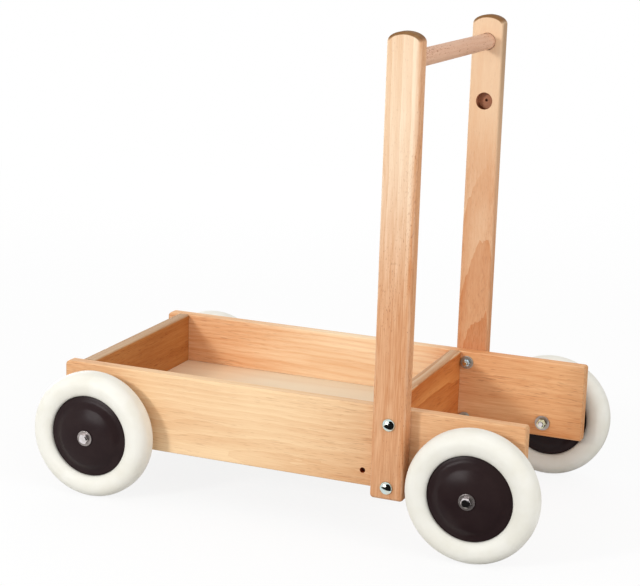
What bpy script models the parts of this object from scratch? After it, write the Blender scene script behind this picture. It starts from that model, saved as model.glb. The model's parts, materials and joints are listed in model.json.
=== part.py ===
"""Wooden push walker for a child who is learning to walk.

A beech tray on four rubber-tyred wheels carries two bolted uprights with a
dowel handle bar between them. Lengths are metres and +Z is up. The child
walks behind the tray, at +X, and pushes it towards -X. -Y is the child's
left. The origin lies on the floor, midway between the four wheels.
"""

import math

import bmesh
import bpy

# Clearances
SEAT_GAP = 0.0003             # between faces that rest on each other
HOLE_PLAY = 0.0003            # all round a bolt or dowel in its hole
BUSH_PLAY = 0.0004            # all round an axle bolt in its bush
CUT_OVERSHOOT = 0.002         # how far a cutter runs past the face it opens

# Side boards and cross boards, all planed from one stock
BOARD_LENGTH = 0.521
BOARD_HEIGHT = 0.087
BOARD_THICKNESS = 0.0135
BOARD_SPAN = 0.258            # over the outer faces of the two side boards
BOARD_CORNER_RADIUS = 0.005   # top corners at both ends of a side board
BOARD_EDGE_RADIUS = 0.0015
FRONT_BOARD_SETBACK = 0.0148  # from the front ends of the side boards
REAR_BOARD_GAP = 0.0004       # from the rear board to the washers behind it

# Floor panel, housed in grooves all round
FLOOR_THICKNESS = 0.004
FLOOR_GROOVE_DEPTH = 0.005
FLOOR_WASHER_GAP = 0.0013     # from the front axle washers up to the floor

# Glued dowels between the cross boards and the side boards
DOWEL_DIAMETER = 0.008
DOWEL_IN_SIDE = 0.009
DOWEL_IN_CROSS = 0.020
DOWEL_BELOW_TOP = 0.018
DOWEL_ABOVE_FLOOR = 0.013

# Uprights and handle bar
UPRIGHT_WIDTH = 0.036
UPRIGHT_THICKNESS = 0.017
UPRIGHT_LENGTH = 0.473        # from the foot to the crown
UPRIGHT_DROP = 0.0055         # below the bottom edge of the boards
UPRIGHT_ARCH = 0.0103         # height of the arched top
UPRIGHT_EDGE_RADIUS = 0.003
UPRIGHT_WHEEL_GAP = 0.0050    # from the rear wheels to the uprights
BAR_DIAMETER = 0.018
BAR_BELOW_CROWN = 0.0291
SOCKET_SPACING = 0.0658       # from the bar down to the spare sockets
SOCKET_DEPTH = 0.0095
SOCKET_POINT_DIAMETER = 0.003  # mark of the drill's centre point
SOCKET_POINT_DEPTH = 0.0015
SOCKET_TIP_DIAMETER = 0.0006

# Carriage bolts that hold the uprights
BOLT_DIAMETER = 0.005
BOLT_HEAD_DIAMETER = 0.0138
BOLT_HEAD_HEIGHT = 0.0032
BOLT_NECK_LENGTH = 0.003
BOLT_NECK_STEP = 0.0002       # from the shank out to the flats of the square neck
BOLT_END_LENGTH = 0.0012      # thread that shows past the nut
BOLT_WASHER_DIAMETER = 0.015
BOLT_WASHER_THICKNESS = 0.0012
BOLT_NUT_WALL = 0.0015        # from the thread to the nut's flats
BOLT_NUT_HEIGHT = 0.005
UPPER_BOLT_DROP = 0.0125      # below the top of the boards
LOWER_BOLT_RISE = 0.0076      # above the bottom of the boards
HANDLE_TILT = 29.2            # degrees, handle leaned back to the spare holes

# Axle bolts
AXLE_DIAMETER = 0.006
AXLE_RISE = 0.0157            # above the bottom of the boards
FRONT_AXLE_INSET = 0.0465
REAR_AXLE_INSET = 0.0455
AXLE_HEX_WALL = 0.002         # from the thread to the flats of head and nut
AXLE_HEAD_HEIGHT = 0.004
AXLE_END_LENGTH = 0.002
AXLE_WASHER_DIAMETER = 0.017
AXLE_WASHER_THICKNESS = 0.0015
AXLE_NUT_HEIGHT = 0.006
SPACER_DIAMETER = 0.014
SPACER_THICKNESS = 0.0026

# Wheels
TYRE_DIAMETER = 0.1385
TYRE_WIDTH = 0.032
TYRE_SEAT_WIDTH = 0.0205
TREAD_WIDTH = 0.006
HUB_DIAMETER = 0.0892
HUB_RIM_WIDTH = 0.019
HUB_LENGTH = 0.036
HUB_BOSS_DIAMETER = 0.020
HUB_DOME_POWER = 2.4          # how late the dome falls away to the rim
BUSH_DIAMETER = 0.010

# Shape of hardware details
CHAMFER = 0.0006
NUT_COLLAR_HEIGHT = 0.0015    # round collar that holds the locking ring
NUT_COLLAR_INSET = 0.0003     # from the nut's flats to the collar

# Facets
SHARP_ANGLE = 35              # degrees between faces, above which an edge stays crisp
WHEEL_FACETS = 32
BAR_FACETS = 24
HARDWARE_FACETS = 12
ARCH_STEPS = 12
CORNER_STEPS = 4
ROUND_PROFILE = 0.5           # bevel profile of a quarter circle
EDGE_STEPS = 2
TYRE_STEPS = 3
DOME_STEPS = 4
CUP_STEPS = 3

# Places that follow from the sizes
TYRE_RADIUS = TYRE_DIAMETER / 2
AXLE_Z = TYRE_RADIUS
BOARD_BOTTOM = AXLE_Z - AXLE_RISE
BOARD_TOP = BOARD_BOTTOM + BOARD_HEIGHT
REAR_AXLE_X = (BOARD_LENGTH - FRONT_AXLE_INSET - REAR_AXLE_INSET) / 2
FRONT_AXLE_X = -REAR_AXLE_X
BOARD_FRONT = FRONT_AXLE_X - FRONT_AXLE_INSET
BOARD_REAR = REAR_AXLE_X + REAR_AXLE_INSET
OUTER_FACE = BOARD_SPAN / 2
INNER_FACE = OUTER_FACE - BOARD_THICKNESS
UPRIGHT_FACE = OUTER_FACE + SEAT_GAP
UPRIGHT_X = REAR_AXLE_X - TYRE_RADIUS - UPRIGHT_WHEEL_GAP - UPRIGHT_WIDTH / 2
UPRIGHT_BOTTOM = BOARD_BOTTOM - UPRIGHT_DROP
CROWN_Z = UPRIGHT_BOTTOM + UPRIGHT_LENGTH
BAR_Z = CROWN_Z - BAR_BELOW_CROWN
SPARE_SOCKET_Z = BAR_Z - SOCKET_SPACING
UPPER_BOLT_Z = BOARD_TOP - UPPER_BOLT_DROP
LOWER_BOLT_Z = BOARD_BOTTOM + LOWER_BOLT_RISE
BOLT_SPACING = UPPER_BOLT_Z - LOWER_BOLT_Z
SPARE_HOLE_X = UPRIGHT_X - BOLT_SPACING * math.sin(math.radians(HANDLE_TILT))
SPARE_HOLE_Z = UPPER_BOLT_Z - BOLT_SPACING * math.cos(math.radians(HANDLE_TILT))
FLOOR_BOTTOM = AXLE_Z + AXLE_WASHER_DIAMETER / 2 + FLOOR_WASHER_GAP
FLOOR_TOP = FLOOR_BOTTOM + FLOOR_THICKNESS
FRONT_BOARD_X = BOARD_FRONT + FRONT_BOARD_SETBACK + BOARD_THICKNESS / 2
REAR_BOARD_X = UPRIGHT_X - BOLT_WASHER_DIAMETER / 2 - REAR_BOARD_GAP - BOARD_THICKNESS / 2
BOLT_NECK_WIDTH = BOLT_DIAMETER + 2 * BOLT_NECK_STEP
AXLE_HEX_WIDTH = AXLE_DIAMETER + 2 * AXLE_HEX_WALL
TRAY_FRONT = FRONT_BOARD_X + BOARD_THICKNESS / 2
TRAY_REAR = REAR_BOARD_X - BOARD_THICKNESS / 2

SIDES = {"left": -1, "right": 1}
AXLES = {"front": FRONT_AXLE_X, "rear": REAR_AXLE_X}
CROSS_BOARDS = {"front": FRONT_BOARD_X, "rear": REAR_BOARD_X}
UPRIGHT_BOLTS = {"upper": UPPER_BOLT_Z, "lower": LOWER_BOLT_Z}
DOWEL_ROWS = {"upper": BOARD_TOP - DOWEL_BELOW_TOP, "lower": FLOOR_TOP + DOWEL_ABOVE_FLOOR}


# Materials

def srgb(red, green, blue):
    """Turn a colour as it looks on screen, 0 to 255, into the linear colour of a shader."""
    def channel(value):
        share = value / 255
        return share / 12.92 if share <= 0.04045 else ((share + 0.055) / 1.055) ** 2.4
    return (channel(red), channel(green), channel(blue), 1.0)


def finish(name, colour, roughness, metallic=0.0):
    """A plain material for one kind of stock."""
    material = bpy.data.materials.new(name)
    material.use_nodes = True
    shader = material.node_tree.nodes["Principled BSDF"]
    shader.inputs["Base Color"].default_value = colour
    shader.inputs["Roughness"].default_value = roughness
    shader.inputs["Metallic"].default_value = metallic
    return material


# Scene helpers

def add_object(name, bm, material=None, parent=None, location=(0.0, 0.0, 0.0)):
    """Turn a bmesh into a smooth-shaded object with its sharp edges kept."""
    bmesh.ops.recalc_face_normals(bm, faces=bm.faces)
    mesh = bpy.data.meshes.new(name)
    bm.to_mesh(mesh)
    bm.free()
    mesh.shade_smooth()
    mesh.set_sharp_from_angle(angle=math.radians(SHARP_ANGLE))
    if material:
        mesh.materials.append(material)
    obj = bpy.data.objects.new(name, mesh)
    obj.location = location
    obj.parent = parent
    bpy.context.scene.collection.objects.link(obj)
    return obj


def add_station(name, x, y, z):
    """An empty at a bolt or axle, whose local +Z points out of the walker's side."""
    station = bpy.data.objects.new(name, None)
    station.location = (x, y, z)
    station.rotation_euler = (math.radians(90 if y < 0 else -90), 0.0, 0.0)
    bpy.context.scene.collection.objects.link(station)
    return station


def make_cutter(name, bm, parent=None, location=(0.0, 0.0, 0.0)):
    """An object that only shapes others and is never part of the walker."""
    cutter = add_object(name, bm, None, parent, location)
    cutter.hide_render = True
    cutter.display_type = 'WIRE'
    return cutter


def cut(target, cutter):
    """Take the cutter's shape out of the target."""
    boolean = target.modifiers.new(cutter.name, 'BOOLEAN')
    boolean.operation = 'DIFFERENCE'
    boolean.solver = 'EXACT'
    boolean.object = cutter


# Shape helpers

def polygon(sides, width, z, facets):
    """A level polygon round the local Z axis, of the given width across flats.

    It has as many points as facets, its corners among them, so that polygons
    with different sides can be skinned together.
    """
    points = []
    for step in range(facets):
        past_corner = step % (facets // sides)
        off_flat = 2 * math.pi * past_corner / facets - math.pi / sides
        reach = width / 2 / math.cos(off_flat)
        turn = 2 * math.pi * (step + 0.5) / facets
        points.append((reach * math.cos(turn), reach * math.sin(turn), z))
    return points


def circle(radius, z, facets=HARDWARE_FACETS):
    """A polygon that stands for a circle, with the middle of each flat at the radius."""
    return polygon(facets, 2 * radius, z, facets)


def hexagon(width, z):
    """A hexagon with as many points as a round piece of hardware."""
    return polygon(6, width, z, HARDWARE_FACETS)


def square(width, z):
    """A square with as many points as a round piece of hardware."""
    return polygon(4, width, z, HARDWARE_FACETS)


def loft(rings, closed=False):
    """Skin a stack of rings with equal point counts.

    A closed stack joins its last ring to its first and keeps a bore through
    the middle. An open stack is capped at both ends.
    """
    bm = bmesh.new()
    loops = [[bm.verts.new(point) for point in ring] for ring in rings]
    count = len(rings[0])
    pairs = list(zip(loops, loops[1:]))
    if closed:
        pairs.append((loops[-1], loops[0]))
    else:
        bm.faces.new(loops[0])
        bm.faces.new(loops[-1])
    for lower, upper in pairs:
        for step in range(count):
            following = (step + 1) % count
            bm.faces.new((lower[step], lower[following], upper[following], upper[step]))
    return bm


def rod(radius, start, end, facets=HARDWARE_FACETS):
    """A plain round bar along local Z."""
    return loft([circle(radius, start, facets), circle(radius, end, facets)])


def washer(outer_diameter, hole_diameter, start, end):
    """A flat ring along local Z, also used for bushes and spacers."""
    outer = outer_diameter / 2
    hole = hole_diameter / 2
    rings = [
        circle(hole, start),
        circle(outer, start),
        circle(outer, end),
        circle(hole, end),
    ]
    return loft(rings, closed=True)


def lock_nut(width, height, hole_diameter, top):
    """A hexagon nut whose round locking collar points away from its seat, towards -Z."""
    collar = width / 2 - NUT_COLLAR_INSET
    hole = hole_diameter / 2
    shoulder = top - height + NUT_COLLAR_HEIGHT
    rings = [
        circle(hole, top),
        hexagon(width, top),
        hexagon(width, shoulder),
        circle(collar, shoulder),
        circle(collar - CHAMFER, top - height),
        circle(hole, top - height),
    ]
    return loft(rings, closed=True)


def box(low, high):
    """A square-edged block between two corners."""
    bm = bmesh.new()
    bmesh.ops.create_cube(bm, size=1.0)
    for vert in bm.verts:
        vert.co = [high[axis] if vert.co[axis] > 0 else low[axis] for axis in range(3)]
    return bm


def round_edges(bm, edges, radius):
    """Round the given edges over."""
    bmesh.ops.bevel(bm, geom=edges, offset=radius, segments=EDGE_STEPS, profile=ROUND_PROFILE,
                    affect='EDGES', clamp_overlap=True)


def panel(outline, thickness, edge_radius):
    """A board cut to an outline in XZ, centred on Y, with both its rims rounded over."""
    bm = bmesh.new()
    face = bm.faces.new([bm.verts.new((x, -thickness / 2, z)) for x, z in outline])
    extruded = bmesh.ops.extrude_face_region(bm, geom=[face])["geom"]
    moved = [item for item in extruded if isinstance(item, bmesh.types.BMVert)]
    bmesh.ops.translate(bm, vec=(0.0, thickness, 0.0), verts=moved)
    rims = [edge for edge in bm.edges if edge.verts[0].co.y == edge.verts[1].co.y]
    round_edges(bm, rims, edge_radius)
    return bm


def arc(centre, radii, start, end, steps):
    """Points of an elliptic arc in XZ, angles in degrees from +X."""
    points = []
    for step in range(steps + 1):
        turn = math.radians(start + (end - start) * step / steps)
        points.append((centre[0] + radii[0] * math.cos(turn), centre[1] + radii[1] * math.sin(turn)))
    return points


# Wooden pieces

def side_board(name, side, material):
    """A long board on edge, with its two top corners rounded."""
    radius = BOARD_CORNER_RADIUS
    outline = [(BOARD_FRONT, BOARD_BOTTOM), (BOARD_REAR, BOARD_BOTTOM)]
    outline += arc((BOARD_REAR - radius, BOARD_TOP - radius), (radius, radius), 0, 90, CORNER_STEPS)
    outline += arc((BOARD_FRONT + radius, BOARD_TOP - radius), (radius, radius), 90, 180, CORNER_STEPS)
    bm = panel(outline, BOARD_THICKNESS, BOARD_EDGE_RADIUS)
    return add_object(name, bm, material, location=(0.0, side * (OUTER_FACE - BOARD_THICKNESS / 2), 0.0))


def cross_board(name, x, material):
    """A board between the side boards, with its long edges softened and its ends square."""
    half = (BOARD_THICKNESS / 2, INNER_FACE - SEAT_GAP)
    bm = box((-half[0], -half[1], BOARD_BOTTOM), (half[0], half[1], BOARD_TOP))
    long_edges = [edge for edge in bm.edges if edge.verts[0].co.xz == edge.verts[1].co.xz]
    round_edges(bm, long_edges, BOARD_EDGE_RADIUS)
    return add_object(name, bm, material, location=(x, 0.0, 0.0))


def floor_block(depth, play):
    """The floor panel's block, run into the grooves by the given depth and grown by the play."""
    low = (TRAY_FRONT - depth, -INNER_FACE - depth, FLOOR_BOTTOM - play)
    high = (TRAY_REAR + depth, INNER_FACE + depth, FLOOR_TOP + play)
    return box(low, high)


def upright(name, side, material):
    """A tall flat post with an arched top."""
    half = UPRIGHT_WIDTH / 2
    outline = [(-half, UPRIGHT_BOTTOM), (half, UPRIGHT_BOTTOM)]
    outline += arc((0.0, CROWN_Z - UPRIGHT_ARCH), (half, UPRIGHT_ARCH), 0, 180, ARCH_STEPS)
    bm = panel(outline, UPRIGHT_THICKNESS, UPRIGHT_EDGE_RADIUS)
    middle = side * (UPRIGHT_FACE + UPRIGHT_THICKNESS / 2)
    return add_object(name, bm, material, location=(UPRIGHT_X, middle, 0.0))


def handle_bar(material):
    """The dowel that spans the uprights and ends in their sockets."""
    reach = UPRIGHT_FACE + SOCKET_DEPTH - SEAT_GAP
    bar = add_object("handle_bar", rod(BAR_DIAMETER / 2, -reach, reach, BAR_FACETS), material,
                     location=(UPRIGHT_X, 0.0, BAR_Z))
    bar.rotation_euler = (math.radians(90), 0.0, 0.0)
    return bar


def drill_socket(name, post, side, z):
    """A blind hole in a post's inner face, with the small mark that the drill's point leaves."""
    station = add_station(name + "_station", UPRIGHT_X, side * UPRIGHT_FACE, z)
    hole = rod(BAR_DIAMETER / 2 + HOLE_PLAY, -CUT_OVERSHOOT, SOCKET_DEPTH, BAR_FACETS)
    cut(post, make_cutter(name, hole, station))
    point = loft([
        circle(SOCKET_POINT_DIAMETER / 2, SOCKET_DEPTH - SEAT_GAP),
        circle(SOCKET_TIP_DIAMETER / 2, SOCKET_DEPTH + SOCKET_POINT_DEPTH),
    ])
    cut(post, make_cutter(name + "_point", point, station))


def glue_dowels(boards, crosses, material):
    """Blind dowels that peg both ends of each cross board to the side boards."""
    radius = DOWEL_DIAMETER / 2
    for side_name, side in SIDES.items():
        for cross_name, x in CROSS_BOARDS.items():
            for row, z in DOWEL_ROWS.items():
                name = f"{cross_name}_{side_name}_{row}_dowel"
                station = add_station(name + "_station", x, side * INNER_FACE, z)
                hole = rod(radius + HOLE_PLAY, -DOWEL_IN_CROSS, DOWEL_IN_SIDE)
                cutter = make_cutter(name + "_hole", hole, station)
                cut(boards[side_name], cutter)
                cut(crosses[cross_name], cutter)
                peg = rod(radius, SEAT_GAP - DOWEL_IN_CROSS, DOWEL_IN_SIDE - SEAT_GAP)
                add_object(name, peg, material, station)


# Bolted joints of the uprights

def carriage_bolt(end):
    """A cup-headed bolt with a square neck, its head above Z = 0 and its shank down to end."""
    cup = BOLT_HEAD_DIAMETER / 2
    shank = BOLT_DIAMETER / 2
    neck_end = -BOLT_NECK_LENGTH
    rings = []
    for step in range(CUP_STEPS):
        turn = math.pi / 2 * (1 - step / CUP_STEPS)
        width = max(cup * math.cos(turn), CHAMFER)
        rings.append(circle(width, SEAT_GAP + BOLT_HEAD_HEIGHT * math.sin(turn)))
    rings += [
        circle(cup, SEAT_GAP),
        square(BOLT_NECK_WIDTH, SEAT_GAP),
        square(BOLT_NECK_WIDTH, neck_end),
        circle(shank, neck_end),
        circle(shank, end + CHAMFER),
        circle(shank - CHAMFER, end),
    ]
    return loft(rings)


def bolt_upright(side_name, post, board, steel):
    """Two carriage bolts through a post and its board, each with a washer and a lock nut."""
    side = SIDES[side_name]
    outside = side * (UPRIGHT_FACE + UPRIGHT_THICKNESS)
    inside = -(UPRIGHT_THICKNESS + SEAT_GAP + BOARD_THICKNESS)
    washer_top = inside - SEAT_GAP
    washer_seat = washer_top - BOLT_WASHER_THICKNESS
    nut_top = washer_seat - SEAT_GAP
    end = nut_top - BOLT_NUT_HEIGHT - BOLT_END_LENGTH
    hole_diameter = BOLT_DIAMETER + 2 * HOLE_PLAY
    pocket_width = BOLT_NECK_WIDTH + 2 * HOLE_PLAY
    pocket_end = -BOLT_NECK_LENGTH - SEAT_GAP
    for row, z in UPRIGHT_BOLTS.items():
        name = f"{side_name}_{row}"
        station = add_station(name + "_bolt_station", UPRIGHT_X, outside, z)
        hole = rod(hole_diameter / 2, inside - CUT_OVERSHOOT, CUT_OVERSHOOT)
        hole_cutter = make_cutter(name + "_bolt_hole", hole, station)
        cut(post, hole_cutter)
        cut(board, hole_cutter)
        pocket = loft([square(pocket_width, CUT_OVERSHOOT), square(pocket_width, pocket_end)])
        cut(post, make_cutter(name + "_neck_pocket", pocket, station))
        add_object(name + "_carriage_bolt", carriage_bolt(end), steel, station)
        ring = washer(BOLT_WASHER_DIAMETER, hole_diameter, washer_seat, washer_top)
        add_object(name + "_bolt_washer", ring, steel, station)
        nut = lock_nut(BOLT_DIAMETER + 2 * BOLT_NUT_WALL, BOLT_NUT_HEIGHT, hole_diameter, nut_top)
        add_object(name + "_bolt_nut", nut, steel, station)
    spare = add_station(side_name + "_spare_station", SPARE_HOLE_X, side * OUTER_FACE, SPARE_HOLE_Z)
    hole = rod(hole_diameter / 2, -BOARD_THICKNESS - CUT_OVERSHOOT, CUT_OVERSHOOT)
    cut(board, make_cutter(side_name + "_spare_hole", hole, spare))


# Wheels

def tyre():
    """A fat round rubber ring about Z = 0, flat where it grips the hub and at the tread."""
    bore = HUB_DIAMETER / 2 + SEAT_GAP
    wide = (bore + TYRE_RADIUS) / 2
    seat = TYRE_SEAT_WIDTH / 2
    side = TYRE_WIDTH / 2
    tread = TREAD_WIDTH / 2
    outline = []
    for step in range(TYRE_STEPS):
        turn = math.pi / 2 * step / TYRE_STEPS
        radius = wide - (wide - bore) * math.cos(turn)
        outline.append((radius, seat + (side - seat) * math.sin(turn)))
    for step in range(TYRE_STEPS + 1):
        turn = math.pi / 2 * step / TYRE_STEPS
        radius = wide + (TYRE_RADIUS - wide) * math.sin(turn)
        outline.append((radius, tread + (side - tread) * math.cos(turn)))
    rings = [circle(radius, z, WHEEL_FACETS) for radius, z in outline]
    rings += [circle(radius, -z, WHEEL_FACETS) for radius, z in reversed(outline)]
    return loft(rings, closed=True)


def hub():
    """A moulded disc about Z = 0, domed on both faces, with a flat boss round its bore."""
    bore = BUSH_DIAMETER / 2 + HOLE_PLAY
    boss = HUB_BOSS_DIAMETER / 2
    rim = HUB_DIAMETER / 2
    fall = (HUB_LENGTH - HUB_RIM_WIDTH) / 2
    outline = [(bore, HUB_LENGTH / 2)]
    for step in range(DOME_STEPS + 1):
        share = step / DOME_STEPS
        outline.append((boss + (rim - boss) * share, HUB_LENGTH / 2 - fall * share ** HUB_DOME_POWER))
    rings = [circle(radius, z, WHEEL_FACETS) for radius, z in outline]
    rings += [circle(radius, -z, WHEEL_FACETS) for radius, z in reversed(outline)]
    return loft(rings, closed=True)


def axle_bolt(head_seat, end):
    """A hexagon-headed bolt whose head rests on Z = head_seat and whose shank runs down to end."""
    shank = AXLE_DIAMETER / 2
    top = head_seat + AXLE_HEAD_HEIGHT
    rings = [
        circle(AXLE_HEX_WIDTH / 2 - CHAMFER, top),
        hexagon(AXLE_HEX_WIDTH, top - CHAMFER),
        hexagon(AXLE_HEX_WIDTH, head_seat),
        circle(shank, head_seat),
        circle(shank, end + CHAMFER),
        circle(shank - CHAMFER, end),
    ]
    return loft(rings)


def add_wheel(name, x, side, board, rubber, plastic, nylon, steel):
    """One wheel on its own bolt through a side board; Z = 0 is the board's outer face."""
    station = add_station(name + "_axle", x, side * OUTER_FACE, AXLE_Z)
    hole_diameter = AXLE_DIAMETER + 2 * HOLE_PLAY
    hole = rod(hole_diameter / 2, -BOARD_THICKNESS - CUT_OVERSHOOT, CUT_OVERSHOOT)
    cut(board, make_cutter(name + "_axle_hole", hole, station))

    spacer_top = SEAT_GAP + SPACER_THICKNESS
    ring = washer(SPACER_DIAMETER, hole_diameter, SEAT_GAP, spacer_top)
    add_object(name + "_spacer", ring, steel, station)

    middle = spacer_top + SEAT_GAP + HUB_LENGTH / 2
    place = (0.0, 0.0, middle)
    add_object(name + "_tyre", tyre(), rubber, station, place)
    add_object(name + "_hub", hub(), plastic, station, place)
    bush = washer(BUSH_DIAMETER, AXLE_DIAMETER + 2 * BUSH_PLAY, -HUB_LENGTH / 2, HUB_LENGTH / 2)
    add_object(name + "_bush", bush, nylon, station, place)

    cap_start = middle + HUB_LENGTH / 2 + SEAT_GAP
    cap_end = cap_start + AXLE_WASHER_THICKNESS
    ring = washer(AXLE_WASHER_DIAMETER, hole_diameter, cap_start, cap_end)
    add_object(name + "_outer_washer", ring, steel, station)

    inside = -BOARD_THICKNESS - SEAT_GAP
    seat = inside - AXLE_WASHER_THICKNESS
    ring = washer(AXLE_WASHER_DIAMETER, hole_diameter, seat, inside)
    add_object(name + "_board_washer", ring, steel, station)
    nut = lock_nut(AXLE_HEX_WIDTH, AXLE_NUT_HEIGHT, hole_diameter, seat - SEAT_GAP)
    add_object(name + "_lock_nut", nut, steel, station)

    end = seat - SEAT_GAP - AXLE_NUT_HEIGHT - AXLE_END_LENGTH
    add_object(name + "_axle_bolt", axle_bolt(cap_end + SEAT_GAP, end), steel, station)


def main():
    """Build the walker in an empty scene."""
    for obj in list(bpy.data.objects):
        bpy.data.objects.remove(obj, do_unlink=True)

    beech = finish("oiled_beech", srgb(226, 174, 124), 0.5)
    birch = finish("birch_plywood", srgb(228, 202, 165), 0.6)
    rubber = finish("white_rubber", srgb(238, 237, 228), 0.55)
    plastic = finish("dark_plastic", srgb(44, 37, 36), 0.4)
    nylon = finish("white_nylon", srgb(226, 224, 214), 0.45)
    steel = finish("zinc_steel", srgb(190, 190, 188), 0.28, 1.0)

    boards = {name: side_board(f"{name}_side_board", side, beech) for name, side in SIDES.items()}
    crosses = {name: cross_board(f"{name}_cross_board", x, beech) for name, x in CROSS_BOARDS.items()}
    add_object("floor_panel", floor_block(FLOOR_GROOVE_DEPTH - SEAT_GAP, 0.0), birch)
    groove = make_cutter("floor_groove", floor_block(FLOOR_GROOVE_DEPTH, SEAT_GAP))
    for board in [*boards.values(), *crosses.values()]:
        cut(board, groove)
    glue_dowels(boards, crosses, beech)

    handle_bar(beech)
    for side_name, side in SIDES.items():
        post = upright(f"{side_name}_upright", side, beech)
        drill_socket(f"{side_name}_bar_socket", post, side, BAR_Z)
        drill_socket(f"{side_name}_spare_socket", post, side, SPARE_SOCKET_Z)
        bolt_upright(side_name, post, boards[side_name], steel)
        for axle_name, x in AXLES.items():
            add_wheel(f"{axle_name}_{side_name}", x, side, boards[side_name], rubber, plastic, nylon, steel)


main()
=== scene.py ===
# %% [markdown]
# # A wooden push walker
# The real thing is a beech tray on four rubber-tyred wheels, with two bolted
# uprights and a dowel to hold on to. The solids of the frame already have its
# sizes and places, but they are faceted and plain. This lesson dresses them:
# each step works out one kind of piece as a smooth surface, gives it a
# procedural finish and lets it ride on the body that carries it.

# %% Load the frame
import json
import math

import bmesh
import bpy
import numpy as np
from mathutils import Matrix, Vector
from mathutils.geometry import delaunay_2d_cdt

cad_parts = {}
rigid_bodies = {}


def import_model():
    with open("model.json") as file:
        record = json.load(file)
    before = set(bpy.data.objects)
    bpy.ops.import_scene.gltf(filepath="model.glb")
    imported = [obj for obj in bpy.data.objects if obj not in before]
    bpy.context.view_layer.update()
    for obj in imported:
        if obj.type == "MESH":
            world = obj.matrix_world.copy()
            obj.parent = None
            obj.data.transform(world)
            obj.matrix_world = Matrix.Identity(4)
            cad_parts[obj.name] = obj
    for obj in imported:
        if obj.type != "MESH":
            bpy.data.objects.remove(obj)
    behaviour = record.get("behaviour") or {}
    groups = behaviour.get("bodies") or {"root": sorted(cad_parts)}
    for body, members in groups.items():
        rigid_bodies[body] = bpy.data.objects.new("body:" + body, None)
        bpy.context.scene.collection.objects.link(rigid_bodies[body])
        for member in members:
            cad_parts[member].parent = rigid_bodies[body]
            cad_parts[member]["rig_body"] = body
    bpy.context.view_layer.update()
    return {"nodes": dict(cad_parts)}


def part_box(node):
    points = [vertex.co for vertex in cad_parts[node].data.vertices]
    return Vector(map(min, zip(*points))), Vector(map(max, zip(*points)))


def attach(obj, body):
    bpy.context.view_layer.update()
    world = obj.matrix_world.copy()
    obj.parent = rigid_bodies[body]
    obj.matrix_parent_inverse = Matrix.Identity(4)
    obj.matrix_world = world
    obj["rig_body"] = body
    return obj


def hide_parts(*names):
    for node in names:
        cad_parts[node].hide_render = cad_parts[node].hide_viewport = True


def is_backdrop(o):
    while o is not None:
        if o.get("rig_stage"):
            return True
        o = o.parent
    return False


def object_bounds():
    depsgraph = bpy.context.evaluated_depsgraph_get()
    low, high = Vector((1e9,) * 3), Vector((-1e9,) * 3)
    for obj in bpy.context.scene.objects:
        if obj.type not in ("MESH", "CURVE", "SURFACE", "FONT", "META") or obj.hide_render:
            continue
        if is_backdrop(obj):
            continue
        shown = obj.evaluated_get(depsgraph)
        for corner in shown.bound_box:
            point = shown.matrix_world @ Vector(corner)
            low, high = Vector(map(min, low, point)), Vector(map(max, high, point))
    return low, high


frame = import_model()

MM = 0.001

# %% [markdown]
# ## From arrays to meshes
# A piece could be made with Blender's own primitives and a chain of operators,
# but then its shape hides in the order of the steps. Here every surface is an
# array of points that a formula fills in one go. Two kinds of patch are enough:
# a grid of rings, for walls and turned shapes, and a flat face with holes, for
# the broad sides of boards.

# %% Patches
TRIANGLES_INSIDE = 1
FILL_TOLERANCE = 1e-7


def ring_grid(points, closed=False):
    """Quads over an array [ring, point, xyz]. Each ring closes on itself.

    Point p of ring r is joined to point p + 1 and to ring r + 1, and the last
    ring to the first as well if the stack is closed.
    """
    rings, count = points.shape[:2]
    here = np.arange(rings * count).reshape(rings, count)
    ahead = np.roll(here, -1, axis=1)
    quads = np.stack([here, ahead, np.roll(ahead, -1, axis=0), np.roll(here, -1, axis=0)], axis=-1)
    quads = quads if closed else quads[:-1]
    return points.reshape(-1, 3), quads.reshape(-1, 4)


def lift(loops, depths):
    """Points [x, z] at a depth along Y, as [x, y, z]."""
    depths = np.broadcast_to(depths, loops.shape[:-1])
    return np.stack([loops[..., 0], depths, loops[..., 1]], axis=-1)


def flat_fill(loops, depth):
    """A flat face at one depth, inside the first loop and outside the others.

    All loops bound one triangulation. A triangle with its three corners on the
    same inner loop fills that hole, so it is dropped.
    """
    points = np.concatenate(loops)
    sizes = [len(loop) for loop in loops]
    owner = np.repeat(np.arange(len(loops)), sizes)
    here = np.arange(len(points))
    first = np.repeat(np.cumsum([0] + sizes[:-1]), sizes)
    ahead = first + (here - first + 1) % np.repeat(sizes, sizes)
    edges = np.stack([here, ahead], axis=1).tolist()
    filled = delaunay_2d_cdt(points.tolist(), edges, [], TRIANGLES_INSIDE, FILL_TOLERANCE)
    triangles = np.array(filled[2])
    corners = owner[triangles]
    in_hole = (corners == corners[:, :1]).all(axis=1) & (corners[:, 0] > 0)
    return lift(points, depth), triangles[~in_hole]


print("two rings of eight points give", len(ring_grid(np.zeros((2, 8, 3)))[1]), "quads")

# %% [markdown]
# The patches of a piece are welded into one closed mesh, which then takes the
# place of its solid. Joining objects with an operator would give the same, but
# it depends on what is selected. The place is already in the points, so the
# object itself stays at the origin, as its solid does.

# %% Welding and standing in
MERGE = 0.001 * MM
CREASE = math.radians(32)


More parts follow.
